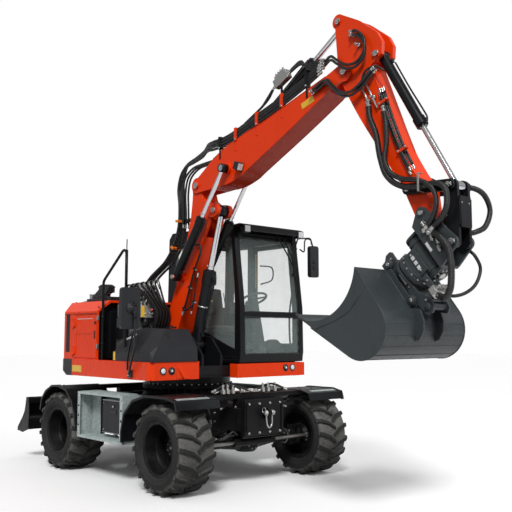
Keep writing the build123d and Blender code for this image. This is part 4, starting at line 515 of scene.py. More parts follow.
class Shape:
    """Collects the solids of one piece; each solid takes one of the piece's finishes."""

    def __init__(self):
        self.bm = bmesh.new()
        self.keys = []

    def key(self, name):
        if name not in self.keys:
            self.keys.append(name)
        return self.keys.index(name)

    def faces(self, verts, loops, finish_name, smooth=False):
        made = [self.bm.verts.new(v) for v in verts]
        index = self.key(finish_name)
        for loop in loops:
            try:
                face = self.bm.faces.new([made[i] for i in loop])
            except ValueError:
                continue
            face.material_index = index
            face.smooth = smooth
        return made

    def box(self, low, high, name, edge=0.0, turn=None):
        """An upright box, or one turned by a matrix about its middle, with bevelled edges."""
        low, high = point(low), point(high)
        mid, half = (low + high) / 2, (high - low) / 2
        made = bmesh.ops.create_cube(self.bm, size=1.0)["verts"]
        for v in made:
            v.co = Vector((v.co.x * 2 * half.x, v.co.y * 2 * half.y, v.co.z * 2 * half.z))
        self.settle(made, name, edge, mid, turn)

    def block(self, mid, half, name, edge=0.0, turn=None):
        """A box by its middle and its half sizes."""
        self.box(point(mid) - Vector(half), point(mid) + Vector(half), name, edge, turn)

    def settle(self, made, name, edge, mid, turn=None):
        index = self.key(name)
        if edge:
            edges = {e for v in made for e in v.link_edges}
            out = bmesh.ops.bevel(self.bm, geom=list(edges), offset=edge, segments=2, affect="EDGES",
                profile=0.7, clamp_overlap=True)
            made = list({v for f in out["faces"] for v in f.verts} | set(v for v in made if v.is_valid))
        seen = set()
        stack = [v for v in made if v.is_valid]
        while stack:
            v = stack.pop()
            if v in seen:
                continue
            seen.add(v)
            stack += [e.other_vert(v) for e in v.link_edges]
        matrix = Matrix.Translation(mid) @ (turn.to_4x4() if turn else Matrix.Identity(4))
        for v in seen:
            v.co = matrix @ v.co
        for f in {f for v in seen for f in v.link_faces}:
            f.material_index = index

    def rings(self, rings, name, smooth=True, close=False, cap=True):
        """Joins like rings of points into a skin."""
        n = len(rings[0])
        verts = [v for ring in rings for v in ring]
        loops = []
        last = len(rings) if close else len(rings) - 1
        for i in range(last):
            j = (i + 1) % len(rings)
            for k in range(n):
                m = (k + 1) % n
                loops.append((i * n + k, j * n + k, j * n + m, i * n + m))
        if cap and not close:
            loops.append(tuple(range(n)))
            loops.append(tuple((len(rings) - 1) * n + k for k in reversed(range(n))))
        self.faces(verts, loops, name, smooth)

    def turned(self, start, axis, profile, name, sides=20, smooth=True, ring=False):
        """A turned shape: profile is (distance along the axis, radius); a ring is open inside."""
        m = frame_of(axis)
        start = point(start)
        rings = []
        for along, radius in profile:
            circle = []
            for k in range(sides):
                a = 2 * pi * k / sides
                circle.append(start + m @ Vector((radius * cos(a), radius * sin(a), along)))
            rings.append(circle)
        self.rings(rings, name, smooth, close=ring)

    def disc(self, start, axis, radius, thick, name, sides):
        self.turned(start, axis, [(0, radius), (thick, radius)], name, sides)

    def rod(self, a, b, radius, name, sides=14):
        a, b = point(a), point(b)
        self.turned(a, b - a, [(0, radius), ((b - a).length, radius)], name, sides)

    def tube(self, points, diameter, name, sides=10, steps=8, rib=0.0, pitch=0.012):
        """A hose along a smooth line; rib gives it the ridges of a spiral guard."""
        line = curve_through(points, steps)
        if rib:
            even = [line[0]]
            for a, b in zip(line, line[1:]):
                length = (b - a).length
                count = max(1, round(length / (pitch / 3)))
                even += [a.lerp(b, (k + 1) / count) for k in range(count)]
            line = even
        rings = []
        side = None
        travelled = 0.0
        for i, p in enumerate(line):
            ahead = line[min(i + 1, len(line) - 1)] - line[max(i - 1, 0)]
            ahead.normalize()
            if side is None:
                side = ahead.orthogonal().normalized()
            side = (side - ahead * side.dot(ahead)).normalized()
            other = ahead.cross(side)
            if i:
                travelled += (p - line[i - 1]).length
            r = diameter / 2
            if rib:
                r *= 1 + rib * cos(2 * pi * travelled / pitch)
            rings.append([p + side * (r * cos(2 * pi * k / sides)) + other * (r * sin(2 * pi * k / sides))
                for k in range(sides)])
        self.rings(rings, name)

    def hose(self, points, diameter, name, sides, steps, first, last):
        """A tube with a fitting of its own size at each end."""
        self.tube(points, diameter, name, sides, steps)
        self.fitting(points[0], points[0] - points[1], first)
        self.fitting(points[-1], points[-1] - points[-2], last)

    def nut(self, place, normal, size, name="zinc", tall=0.6, washer=True):
        """A hexagon head with its washer, standing on a surface."""
        high = size * tall
        if washer:
            self.turned(place, normal, [(-0.001, size * 0.66), (size * 0.12, size * 0.66)], name, 14)
        self.turned(place, normal, [(0.0, size * 0.55), (high * 0.85, size * 0.55), (high, size * 0.47)],
            name, 6, smooth=False)

    def fitting(self, place, direction, size, name="zinc"):
        """A hose end: ferrule, collar and nut in a row."""
        s = size
        self.turned(place, direction, [(0, s * 0.55), (s * 0.9, s * 0.55), (s * 0.95, s * 0.42),
            (s * 1.25, s * 0.42), (s * 1.3, s * 0.66), (s * 1.8, s * 0.66), (s * 1.85, s * 0.4),
            (s * 2.2, s * 0.4)], name, 12, smooth=False)

    def plate(self, outline, origin, u, v, thick, name, edge=0.0):
        """A flat plate: outline in (u, v) about origin, thick along u x v."""
        u, v = Vector(u).normalized(), Vector(v).normalized()
        n = u.cross(v)
        origin = Vector(origin)
        low = [origin + u * a + v * b for a, b in outline]
        high = [p + n * thick for p in low]
        k = len(outline)
        loops = [tuple(reversed(range(k))), tuple(range(k, 2 * k))]
        loops += [(i, (i + 1) % k, k + (i + 1) % k, k + i) for i in range(k)]
        made = self.faces(low + high, loops, name)
        if edge:
            edges = [e for e in {e for vert in made for e in vert.link_edges}]
            out = bmesh.ops.bevel(self.bm, geom=edges, offset=edge, segments=2, affect="EDGES",
                clamp_overlap=True)
            index = self.key(name)
            for f in out["faces"]:
                f.material_index = index

    def make(self, name, body, slot, ride=True):
        bmesh.ops.recalc_face_normals(self.bm, faces=self.bm.faces)
        mesh = bpy.data.meshes.new(name)
        self.bm.to_mesh(mesh)
        self.bm.free()
        for key in self.keys:
            mesh.materials.append(MATS[key])
        obj = new_object(name, mesh)
        if ride:
            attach(obj, body)
        return obj


def bolt_ring(s, centre, a, b, radius, count, normal, size, name="zinc", tall=0.6, shift=0.0, washer=True):
    """Bolts in a circle in the plane of a and b; shift turns it by a share of a step."""
    for k in range(count):
        t = 2 * pi * (k + shift) / count
        s.nut(centre + (a * cos(t) + b * sin(t)) * radius, normal, size, name, tall, washer)


# Wheels
def crown_radius(y):
    """Outer radius of the tread over the lugs at a distance from the middle plane."""
    y = abs(y)
    if y < 0.135:
        return 0.4995
    if y < 0.2:
        return 0.4995 - (y - 0.135) / 0.065 * 0.0065
    return 0.493 - (y - 0.2) / 0.043 * 0.028


TREAD_RADIUS = 0.49
CARCASS = [(0.18, 0.286), (0.192, 0.289), (0.2, 0.303), (0.214, 0.312), (0.218, 0.318), (0.221, 0.318),
    (0.229, 0.331), (0.236, 0.352), (0.2385, 0.353), (0.2405, 0.372), (0.2405, 0.384), (0.2375, 0.386),
    (0.237, 0.404), (0.2325, 0.424), (0.224, 0.441), (0.21, 0.454), (0.19, 0.462), (0.12, 0.4665),
    (0.05, 0.4685)]
LUG_PATH = [(-0.016, -0.012), (0.02, 0.012), (0.062, 0.038), (0.07, 0.05), (0.118, 0.068), (0.165, 0.082),
    (0.196, 0.092), (0.226, 0.1), (0.2415, 0.104)]
LUG_WIDTH = [0.03, 0.04, 0.043, 0.043, 0.045, 0.048, 0.05, 0.052, 0.05]


def tyre_shape(lugs, lug_depth):
    """One tyre about its own centre, axle along y, with chevron lugs that wrap the shoulder."""
    s = Shape()
    ring = CARCASS + [(-y, r) for y, r in reversed(CARCASS)]
    turns = 96
    rings = []
    for k in range(turns):
        a = 2 * pi * k / turns
        rings.append([Vector((r * cos(a), y, r * sin(a))) for y, r in ring])
    s.rings(rings, "rubber", close=True)
    pitch = 2 * pi / lugs
    for side in (1, -1):
        for k in range(lugs):
            base = pitch * (k + (0.5 if side > 0 else 0.0))
            bands = []
            for (y, shift), width in zip(LUG_PATH, LUG_WIDTH):
                top = crown_radius(y)
                foot = top - lug_depth - (0.006 if y > 0.2 else 0.0)
                band = []
                for across, radius in ((-0.5, foot - 0.004), (-0.47, top - 0.006), (-0.4, top), (0.4, top),
                        (0.47, top - 0.006), (0.5, foot - 0.004)):
                    wide = width * (1.22 if radius < top - 0.02 else 1.0)
                    a = base + (shift + across * wide) / TREAD_RADIUS
                    out = side * min(y, 0.2435)
                    band.append(Vector((radius * cos(a), out, radius * sin(a))))
                bands.append(band)
            # the lug's end runs down the side wall and fades into it
            for drop, wide, out in ((0.022, 0.052, 0.244), (0.04, 0.046, 0.2415)):
                top = crown_radius(0.2415) - drop
                band = []
                for across in (-0.5, -0.47, -0.4, 0.4, 0.47, 0.5):
                    a = base + (LUG_PATH[-1][1] + across * wide) / TREAD_RADIUS
                    inset = 0.006 if abs(across) > 0.45 else 0.0
                    band.append(Vector((top * cos(a), side * (out - inset), top * sin(a))))
                bands.append(band)
            s.rings(bands, "rubber", smooth=False)
    # fine ribs round the side walls
    for side in (1, -1):
        for radius, y in ((0.336, 0.2325), (0.364, 0.24), (0.396, 0.2385)):
            rings = []
            for k in range(turns):
                a = 2 * pi * k / turns
                rings.append([Vector(((radius + dr) * cos(a), side * (y + dy), (radius + dr) * sin(a)))
                    for dr, dy in ((-0.003, 0), (0, 0.0028), (0.003, 0), (0, -0.004))])
            s.rings(rings, "rubber", close=True)
    return s


def tread_dust(mesh):
    """Marks how deep each point lies below the lugs, for the soil in the grooves."""
    layer = mesh.attributes.new("tread_depth", "FLOAT", "POINT")
    values = []
    for v in mesh.vertices:
        radius = hypot(v.co.x, v.co.z)
        below = crown_radius(v.co.y) - radius
        if radius > 0.43:      # everything further in is the side wall
            values.append(max(0.07, min(1.0, (below - 0.004) / 0.02)))
        else:
            values.append(0.1)
    layer.data.foreach_set("value", values)


def build_tyres():
    sizes = bpy.context.scene.excavator_sizes
    shape = tyre_shape(sizes.lugs, sizes.lug_depth)
    first = shape.make("tyre_master", "", "tread", ride=False)
    tread_dust(first.data)
    for end, x in (("front", WHEEL_X), ("rear", -WHEEL_X)):
        for name, side in (("left", 1), ("right", -1)):
            mesh = first.data.copy()
            turn = Matrix.Rotation(radians(7 if end == "front" else 3), 4, "Y")
            mesh.transform(Matrix.Translation(at(x, side * WHEEL_Y, AXLE_Z)) @ turn)
            tyre = new_object(f"road_tyre_{end}_{name}", mesh)
            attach(tyre, f"wheel_{end}_{name}")
            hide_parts(f"tyre_{end}_{name}")
    bpy.data.objects.remove(first)


def build_wheel_nuts():
    """Wheel nuts, hub bolts, filler plug and valve of each wheel."""
    for end, x in (("front", WHEEL_X), ("rear", -WHEEL_X)):
        for name, side in (("left", 1), ("right", -1)):
            s = Shape()
            c = at(x, side * WHEEL_Y, AXLE_Z)
            out = Y * side
            bolt_ring(s, c - out * 0.083, X, Z, 0.148, 10, out, 0.027, "steel", 0.9)
            bolt_ring(s, c + out * 0.018, X, Z, 0.078, 8, out, 0.014, "steel", shift=0.5)
            s.turned(c + Y * side * 0.031, out, [(0, 0.02), (0.006, 0.02), (0.008, 0.012), (0.014, 0.01)],
                "steel", 12)
            valve = c + Vector((0.235, side * -0.02, 0.06))
            s.turned(valve, out, [(0, 0.007), (0.03, 0.007), (0.034, 0.005), (0.05, 0.005)], "steel", 10)
            s.turned(c + Y * side * 0.196, out,
                [(0.0, 0.288), (0.004, 0.2905), (0.008, 0.288), (0.004, 0.2865)], "chassis", 48, ring=True)
            s.make(f"wheel_nuts_{end}_{name}", f"wheel_{end}_{name}", "steel")


# Undercarriage
def build_undercarriage():
    s = Shape()
    bolt_ring(s, at(0, 0, 1.12), X, Y, 0.576, 40, Z, 0.021, tall=0.7, shift=0.5, washer=False)
    # nose plate: bolts, gusset ribs, tow pin with its ring and hanging shackle
    for y in (-0.24, -0.08, 0.08, 0.24):
        for z in (0.62, 0.95):
            s.nut((1.52, y, z), X, 0.024)
    for y in (-0.27, 0.27):
        s.box((1.5195, y - 0.012, 0.64), (1.535, y + 0.012, 0.96), "chassis", 0.003)
    pin_x, pin_z = 1.595, 0.845
    s.rod((pin_x, -0.07, pin_z), (pin_x, 0.07, pin_z), 0.0195, "zinc", 18)
    s.disc((pin_x, 0.06, pin_z), Y, 0.03, 0.012, "zinc", 18)
    ring = [at(pin_x + 0.03 * sin(t), -0.076, pin_z + 0.032 - 0.035 * cos(t)) for t in [2 * pi * k / 10
        for k in range(11)]]
    s.tube(ring, 0.009, "zinc", 8, 3)
    bow = [(pin_x, -0.042, pin_z), (pin_x + 0.006, -0.044, pin_z - 0.075),
        (pin_x + 0.008, -0.034, pin_z - 0.135), (pin_x + 0.008, 0.0, pin_z - 0.168),
        (pin_x + 0.008, 0.034, pin_z - 0.135), (pin_x + 0.006, 0.044, pin_z - 0.075), (pin_x, 0.042, pin_z)]
    s.tube(bow, 0.02, "zinc", 10, 5)
    for y in (-0.042, 0.042):
        s.disc((pin_x, y - 0.01, pin_z), Y, 0.034, 0.02, "zinc", 18)
    s.nut((pin_x, 0.071, pin_z), Y, 0.026)
    # grip strips on the front fenders
    slope = Matrix.Rotation(radians(-13.2), 3, "Y").inverted()
    for side in (1, -1):
        mid = at(1.48, side * 1.015, 1.0475)
        s.box(mid - Vector((0.024, 0.22, 0.002)), mid + Vector((0.024, 0.22, 0.006)), "galvanised", 0.002,
            slope)
        for y in (-0.18, 0.18):
            s.nut(mid + Vector((0.0, y, 0.005)), slope @ Z, 0.018)
    # fender stays and mud flap edges
    for side in (1, -1):
        for x, z in ((1.3, 1.064), (1.06, 1.064)):
            for y in (0.8, 1.0, 1.2):
                s.nut((x, side * y, z + 0.002), Z, 0.016, "black", 0.5)
        for x, z in ((-1.1, 1.085), (-0.92, 1.041)):
            s.nut((x, side * 1.22, z), (-0.2, 0, 1), 0.016, "black", 0.5)
    # loom of hoses and swivel fittings on the frame's top, in front of the ring
    lines = [
        [(0.6, -0.2, 0.925), (0.8, -0.3, 0.985), (1.02, -0.26, 0.96), (1.24, -0.34, 0.935),
         (1.3, -0.46, 0.905)],
        [(0.62, -0.1, 0.925), (0.84, -0.16, 1.0), (1.06, -0.12, 0.965), (1.26, -0.16, 0.935),
         (1.34, -0.28, 0.915)],
        [(0.62, 0.05, 0.925), (0.86, 0.04, 0.995), (1.08, 0.1, 0.97), (1.25, 0.2, 0.935),
         (1.33, 0.36, 0.905)],
        [(0.6, 0.18, 0.925), (0.8, 0.26, 0.985), (1.0, 0.3, 0.96), (1.22, 0.4, 0.925),
         (1.28, 0.52, 0.88)],
        [(0.56, -0.3, 0.93), (0.74, -0.44, 0.975), (0.96, -0.46, 0.945), (1.1, -0.5, 0.86),
         (1.16, -0.52, 0.76)],
        [(0.56, 0.3, 0.93), (0.74, 0.46, 0.975), (0.96, 0.48, 0.945), (1.08, 0.52, 0.86),
         (1.14, 0.54, 0.76)],
    ]
    for i, line in enumerate(lines):
        pts = [at(*p) for p in line]
        s.hose(pts, 0.026 if i % 2 else 0.03, "hose", 10, 8, 0.022, 0.022)
    s.box((0.9, -0.05, 0.9065), (1.06, 0.09, 0.955), "zinc", 0.004)
    for x in (0.93, 1.03):
        for y in (-0.02, 0.06):
            s.nut((x, y, 0.955), Z, 0.02)
    s.box((1.1, -0.1, 0.9065), (1.26, -0.02, 0.935), "white", 0.003)
    # propeller shaft under the belly with its joints
    s.turned((-1.03, 0, 0.49), X, [(0, 0.05), (0.03, 0.05), (0.04, 0.034), (0.48, 0.034), (0.5, 0.045),
        (0.53, 0.045)], "chassis", 16)
    for side in (1, -1):
        for x in (-0.95, 1.0):
            s.nut((x, side * 0.331, 0.72), Y * side, 0.024, "steel")
            s.nut((x, side * 0.331, 0.82), Y * side, 0.024, "steel")
    s.make("chassis_fittings", "chassis", "steel")

    s = Shape()
    for side in (1, -1):
        for x in (-WHEEL_X, WHEEL_X):
            c = at(x, side * 0.62, AXLE_Z)
            ring = [c + Vector((0.088 * cos(t), 0, 0.088 * sin(t))) for t in [2 * pi * k / 14
                for k in range(15)]]
            s.tube(ring, 0.01, "zinc", 8, 3)
        for x in (-0.06, 0.06):
            s.nut((WHEEL_X + x, side * 0.2, 0.63), Z, 0.024, "steel")
    for y, z, end in ((-0.42, 0.66, -0.56), (-0.36, 0.7, -0.48), (0.42, 0.66, 0.56), (0.36, 0.7, 0.48)):
        pts = [at(1.305, y * 0.55, 0.66), at(1.37, y * 0.8, 0.6), at(1.39, y, z - 0.06),
            at(1.36, (y + end) / 2, z - 0.1), at(1.325, end, 0.565)]
        s.hose(pts, 0.024, "hose", 10, 8, 0.02, 0.018)
    bolt_ring(s, at(WHEEL_X + 0.15, 0, AXLE_Z), Y, Z, 0.09, 10, X, 0.016, "steel")
    bolt_ring(s, at(-WHEEL_X - 0.165, 0, AXLE_Z), Y, Z, 0.1, 10, -X, 0.016, "steel")
    # pipes, couplings and a bright cover on top of the frame's front
    s.box((1.3, -0.29, 1.08), (1.425, 0.02, 1.096), "zinc", 0.004)
    for line in (((-0.6, 1.12), (-0.5, 1.168), (-0.415, 1.178), (-0.31, 1.12)),
            ((-0.56, 1.1), (-0.44, 1.14), (-0.33, 1.15), (-0.2, 1.112)),
            ((0.02, 1.105), (0.12, 1.15), (0.23, 1.16), (0.36, 1.11))):
        pts = [at(1.36 + 0.03 * k, y, z) for k, (y, z) in enumerate(line)]
        s.hose(pts, 0.026, "hose", 8, 6, 0.028, 0.028)
    for y in (-0.545, -0.48, -0.4, 0.06, 0.14, 0.25):
        s.box((1.4, y - 0.018, 1.075), (1.44, y + 0.018, 1.125), "zinc", 0.004)
        s.fitting((1.42, y, 1.122), Z, 0.026)
    s.make("axle_fittings", "chassis", "steel")


def build_steps():
    """Serrated treads, bolts, box lid and latches of both side steps."""
    for name, side in (("right", -1), ("left", 1)):
        s = Shape()
        x0, x1 = -0.62, 0.455
        y0, y1 = 1.0, 1.27
        for z in (0.5, 1.035):
            for k in range(9):
                y = side * (y0 + 0.02 + (y1 - y0 - 0.04) * k / 8)
                s.box((x0 + 0.07, y - 0.002, z - 0.001), (x1 - 0.07, y + 0.002, z + 0.01), "galvanised")
            for k in range(25):
                x = x0 + 0.08 + (x1 - x0 - 0.16) * k / 24
                s.box((x - 0.0025, side * (y0 + 0.015), z - 0.001),
                    (x + 0.0025, side * (y1 - 0.015), z + 0.008), "galvanised")
        for x in (x0 + 0.03, x1 - 0.03):
            for z in (0.53, 0.98):
                s.nut((x, side * 1.2705, z), Y * side, 0.02)
            # near-black discs of painted shade on the side plate
            for z in (0.62, 0.74, 0.86):
                s.disc((x, side * 1.2705, z), Y * side, 0.014, 0.002, "dark", 14)
        # lid of the tool box with its frame, handle and lock
        s.box((-0.14, side * 1.1805 - 0.001, 0.575), (0.385, side * 1.1805 + 0.007 * side, 0.945), "black",
            0.003)
        s.box((0.05, side * 1.19 - 0.004, 0.8), (0.19, side * 1.19 + 0.006, 0.85), "plastic", 0.004)
        s.turned((0.12, side * 1.194, 0.885), Y * side, [(0, 0.016), (0.008, 0.014)], "zinc", 14)
        for x in (-0.11, 0.355):
            s.nut((x, side * 1.187, 0.6), Y * side, 0.014)
            s.nut((x, side * 1.187, 0.92), Y * side, 0.014)
        s.make(f"step_treads_{name}", "chassis", "galvanised")


def build_blade_fittings():
    s = Shape()
    for k in range(12):
        y = -1.18 + k * 2.36 / 11
        s.nut(at(-2.345, y, 0.462) + Vector((-0.012, 0, 0.006)), (-0.72, 0, 0.6), 0.022, "steel", 0.4)
    for side in (1, -1):
        for x, z, y in ((-2.035, 0.48, 0.356), (-2.095, 0.68, 0.199)):
            s.nut((x, side * y, z), Y * side, 0.03)
        s.box((-2.13, side * 1.21 - 0.02, 0.872), (-2.1, side * 1.21 + 0.02, 0.876), "orange", 0.001)
    s.make("blade_bolts", "blade", "steel")
    s = Shape()
    for side in (1, -1):
        a, b = at(-1.6, side * 0.295, 0.86), at(-1.9, side * 0.295, 0.54)
        along = (b - a).normalized()
        up = Vector((along.z, 0, -along.x))
        if up.x > 0:
            up = -up
        start = a + along * 0.06 + up * 0.052
        pts = [start, start + up * 0.03 + along * 0.02, start + along * 0.12 + up * 0.022,
            start + along * 0.2 + up * 0.016, start + along * 0.235 + up * 0.002]
        s.tube(pts, 0.012, "hose", 8, 5)
        s.fitting(start, up, 0.014)
    s.make("blade_cylinder_pipes", "blade_barrels", "steel")


# Upper structure
def tail_box(s, angle, radius, z, low, high, name, edge=0.0):
    """A box on the round tail; low and high are measured outward, around and up."""
    angle = radians(angle)
    mid = at(radius * cos(angle), radius * sin(angle), z)
    s.box(mid + Vector(low), mid + Vector(high), name, edge, Matrix.Rotation(angle, 3, "Z"))


def build_hood_fittings():
    s = Shape()
    # grille slot in each rear corner, with its louvres; the near-black box behind them is painted shade in
    # the slot
    for side in (1, -1):
        for k in range(13):
            z = 1.535 + 0.038 * k
            place = (180 - 35.5 * side, 1.7105, z)
            tail_box(s, *place, (-0.004, -0.045, -0.014), (0.005, 0.045, 0.014), "dark")
            tail_box(s, *place, (-0.003, -0.048, 0.013), (0.008, 0.048, 0.019), "black", 0.0015)
    # upright slot in the right flank, behind the side door, with a near-black plate of painted shade behind
    # its louvres
    s.box((-1.215, -1.148, 1.52), (-1.115, -1.1455, 2.02), "dark", 0.001)
    for k in range(14):
        z = 1.54 + 0.035 * k
        s.box((-1.212, -1.1495, z), (-1.118, -1.147, z + 0.01), "black", 0.001)
    # fire wall behind the open front of the hood, with its pressed ribs
    s.box((-0.47, -1.095, 1.445), (-0.455, 0.06, 2.11), "black", 0.002)
    for k in range(9):
        y = -1.04 + 0.115 * k
        s.box((-0.455, y, 1.5), (-0.447, y + 0.05, 2.05), "black", 0.003)
    # door latch, hinge caps, and a seam drawn as a near-black strip of painted shade
    for z in (1.6, 1.96):
        s.box((-0.4015, -1.15, z - 0.03), (-0.385, -1.118, z + 0.03), "zinc", 0.003)
    s.box((-1.262, -1.148, 2.02), (-0.4, -1.1462, 2.026), "dark")
    for x in (-1.36, -0.6):
        s.nut((x, -0.93, 2.1905), Z, 0.018, "black")
        s.nut((x, -0.35, 2.1905), Z, 0.018, "black")
    # lifting eyes on the hood
    for y in (-0.62, 0.02):
        ring = [at(-1.42, y + 0.03 * cos(t), 2.19 + 0.032 * sin(t)) for t in [pi * k / 8 for k in range(9)]]
        s.tube(ring, 0.014, "zinc", 8, 3)
    s.make("hood_fittings", "upper_structure", "black_paint")

    s = Shape()
    panel = -1.1502
    s.box((-0.935, panel - 0.001, 1.474), (-0.46, panel + 0.004, 1.482), "body", 0.001)
    s.turned((-0.435, -1.15, 1.9), -Y, [(0, 0.022), (0.004, 0.022), (0.006, 0.015), (0.003, 0.013)],
        "black", 18)
    s.box((-0.452, -1.156, 1.7), (-0.43, -1.15, 1.8), "black", 0.003)
    s.box((-0.9, panel - 0.0015, 1.95), (-0.5, panel + 0.002, 1.958), "white", 0.0005)
    s.make("side_door_fittings", "side_door", "black_paint")

    s = Shape()
    for z in (1.52, 1.905):
        for k in range(17):
            tail_box(s, 158 + 44 * k / 16, 1.7115, z, (-0.003, -0.042, -0.004), (0.003, 0.042, 0.004),
                "body", 0.001)
    tail_box(s, 200.5, 1.712, 1.72, (-0.004, -0.045, -0.03), (0.012, 0.045, 0.03), "black", 0.005)
    s.make("rear_door_fittings", "rear_door", "black_paint")

    s = Shape()
    # tail lamps and reflectors let into the cast weight
    for side in (1, -1):
        for step, key in ((0.0, "red"), (4.5, "orange"), (9.0, "lens")):
            tail_box(s, 180 + side * (24 + step), 1.7205, 1.36, (-0.012, -0.058, -0.03),
                (0.004, 0.058, 0.03), key, 0.004)
    s.box((-1.7215, -0.16, 1.3), (-1.712, 0.16, 1.39), "white", 0.002)
    for y in (-0.45, 0.45):
        s.turned((-1.4, y, 1.2155), -Z, [(0, 0.04), (0.012, 0.036)], "steel", 16)
    s.make("tail_lamps", "upper_structure", "lamp")


def build_deck():
    """Valve hoses, filter, filler cap, pre-cleaner ribs and rail clamps."""
    s = Shape()
    for j in range(3):
        for i in range(5):
            foot = at(-0.26 + 0.105 * j, -0.82 + 0.072 * i, 2.215)
            s.fitting(foot, Z, 0.026)
            reach = 0.1 + 0.045 * j
            y = foot.y
            goal_y = -0.6 + 0.045 * i
            pts = [foot + Z * 0.045, foot + Vector((0.02, 0, 0.115 + 0.02 * j)),
                foot + Vector((0.09, 0.01, 0.165 + 0.015 * i)),
                at(-0.05 + reach, y * 0.6 + goal_y * 0.4, 2.24 - 0.02 * i),
                at(0.03 + reach * 0.7, goal_y, 2.02), at(-0.02 + reach * 0.5, goal_y, 1.76),
                at(-0.06 + reach * 0.3, goal_y + 0.02, 1.5)]
            s.tube(pts, 0.026, "hose", 8, 6)
            s.disc(pts[2], pts[3] - pts[2], 0.018, 0.11, "zinc", 10)
            s.disc(pts[0], pts[1] - pts[0], 0.018, 0.07, "zinc", 10)
    # machined faces, plugs and the side filter
    for i in range(6):
        s.nut((0.0105, -0.84 + 0.065 * i, 1.9), X, 0.022)
        s.nut((0.0105, -0.84 + 0.065 * i, 1.8), X, 0.022)
    s.turned((-0.12, -0.945, 1.96), Z, [(0, 0.052), (0.01, 0.06), (0.16, 0.06), (0.17, 0.05), (0.19, 0.03)],
        "alloy", 22)
    s.box((-0.16, -0.93, 1.9), (-0.08, -0.895, 1.965), "alloy", 0.004)
    s.disc((-0.02, -0.92, 1.93), -Y, 0.02, 0.03, "red", 14)
    s.box((-0.3, -0.93, 1.7), (-0.04, -0.899, 1.84), "black", 0.006)
    # silver filter head in front of the valves, with a yellow band and a red cap
    s.box((-0.005, -0.8, 1.96), (0.085, -0.61, 2.12), "zinc", 0.01)
    s.box((0.0845, -0.795, 1.97), (0.0865, -0.745, 2.11), "yellow")
    s.turned((0.045, -0.705, 1.965), -Z, [(0, 0.045), (0.11, 0.045), (0.12, 0.036)], "black", 20)
    s.disc((0.084, -0.64, 2.06), X, 0.02, 0.022, "red", 14)
    for k in range(3):
        s.fitting((0.045, -0.77 + 0.055 * k, 2.118), Z, 0.024)
        s.fitting((0.084, -0.73 + 0.045 * k, 2.01), (1, 0, 0.2), 0.018)
    # pre-cleaner ribs, bowl clamp and exhaust flap
    for k in range(16):
        a = 2 * pi * k / 16
        c = at(-1.18 + 0.107 * cos(a), -0.56 + 0.107 * sin(a), 2.38)
        s.box(c - Vector((0.003, 0.003, 0.04)), c + Vector((0.006, 0.003, 0.04)), "plastic", 0.001)
    s.turned((-1.18, -0.56, 2.316), Z, [(0, 0.06), (0, 0.068), (0.018, 0.068), (0.018, 0.06)], "zinc", 26)
    s.disc((-1.33, -0.7, 2.3), Z, 0.0405, 0.012, "steel", 24)
    s.turned((-1.33, -0.7, 2.196), Z, [(0, 0.07), (0.004, 0.07), (0.006, 0.041)], "steel", 26)
    # intake housing with its grille, whose openings are near-black plates of painted shade
    s.box((-0.96, -0.905, 2.19), (-0.64, -0.64, 2.255), "plastic", 0.014)
    axes = ((1, 0, 0), (0, 0.6, 0.8))
    s.plate([(0, 0), (0.3, 0), (0.26, 0.17), (0.04, 0.17)], at(-0.95, -0.895, 2.235), *axes, 0.03,
        "plastic", 0.006)
    for i in range(4):
        for j in range(3):
            s.plate([(0, 0), (0.04, 0), (0.04, 0.034), (0, 0.034)],
                at(-0.893 + 0.052 * i, -0.8795 + 0.0276 * j, 2.2535 + 0.0368 * j), *axes, 0.034, "dark")
    # bright heat shield beside the stack and the cooler filler cap
    s.plate([(0, 0), (0.16, 0), (0.16, 0.09), (0.02, 0.09)], at(-1.4, -0.86, 2.191), X, (0, 0.9, 0.3),
        0.004, "zinc")
    s.turned((-0.86, -0.2, 2.1905), Z, [(0, 0.055), (0.03, 0.055), (0.04, 0.045)], "black", 22)
    for z in (1.62, 1.96):
        s.disc((-0.368, -1.08, z), Z, 0.024, 0.03, "black", 14)
        s.box((-0.4, -1.086, z), (-0.36, -1.074, z + 0.03), "black", 0.001)
    s.disc((0.18, -1.08, 2.33), Z, 0.0185, 0.46, "black", 14)
    s.rod((0.18, -1.08, 2.77), (0.184, -1.08, 2.92), 0.0065, "black", 8)
    s.make("deck_fittings", "upper_structure", "steel")

    # tank cover: seams, filler door, blank plates
    s = Shape()
    s.plate([(0.02, 0.19), (0.15, 0.26), (0.15, 0.32), (0.02, 0.25)], at(0.028, -1.148, 1.541), X,
        (0, 0.7415, 0.671), 0.003, "white")
    s.box((0.03, -1.1545, 1.438), (0.078, -1.1515, 1.54), "yellow", 0.0005)
    # a near-black plate of painted shade on the cover
    s.plate([(0, 0), (0.036, 0), (0.036, 0.105), (0, 0.105)], at(0.711, -0.866, 1.7905), Y,
        (0.64, 0, -0.77), 0.004, "dark")
    for x in (0.3, 0.62):
        s.nut((x, -0.7, 1.832), Z, 0.016, "black")
    s.turned((0.46, -0.6, 1.828), Z, [(0, 0.07), (0.012, 0.07), (0.018, 0.062), (0.018, 0.02),
        (0.034, 0.018)], "black", 26)
    s.make("tank_cover_plates", "upper_structure", "plastic")

    s = Shape()
    for x, places, clear_one in ((0.87, (-0.99, -0.87), 0), (1.0, (0.83, 0.95), 1)):
        for i, y in enumerate(places):
            clear = i == clear_one
            c = at(x + 0.0065, y, 1.325)
            s.turned(c + X * -0.004, X, [(0, 0.0405), (0.004, 0.042), (0.006, 0.0395)], "black", 28)
            s.turned(c + X * -0.001, X, [(0, 0.034), (0.004, 0.031), (0.008, 0.02), (0.009, 0.004)],
                "lens" if clear else "dark_lens", 28)
            if not clear:
                s.turned(c + X * 0.006, X, [(0, 0.014), (0.004, 0.012), (0.005, 0.003)], "lens", 18)
    # slanted moulding beside the lamps and blank yellow plates on the skirt
    s.plate([(-0.8, 1.232), (-0.69, 1.232), (-0.745, 1.395), (-0.815, 1.395)], at(0.8695, 0, 0), Y, Z,
        0.005, "body", 0.002)
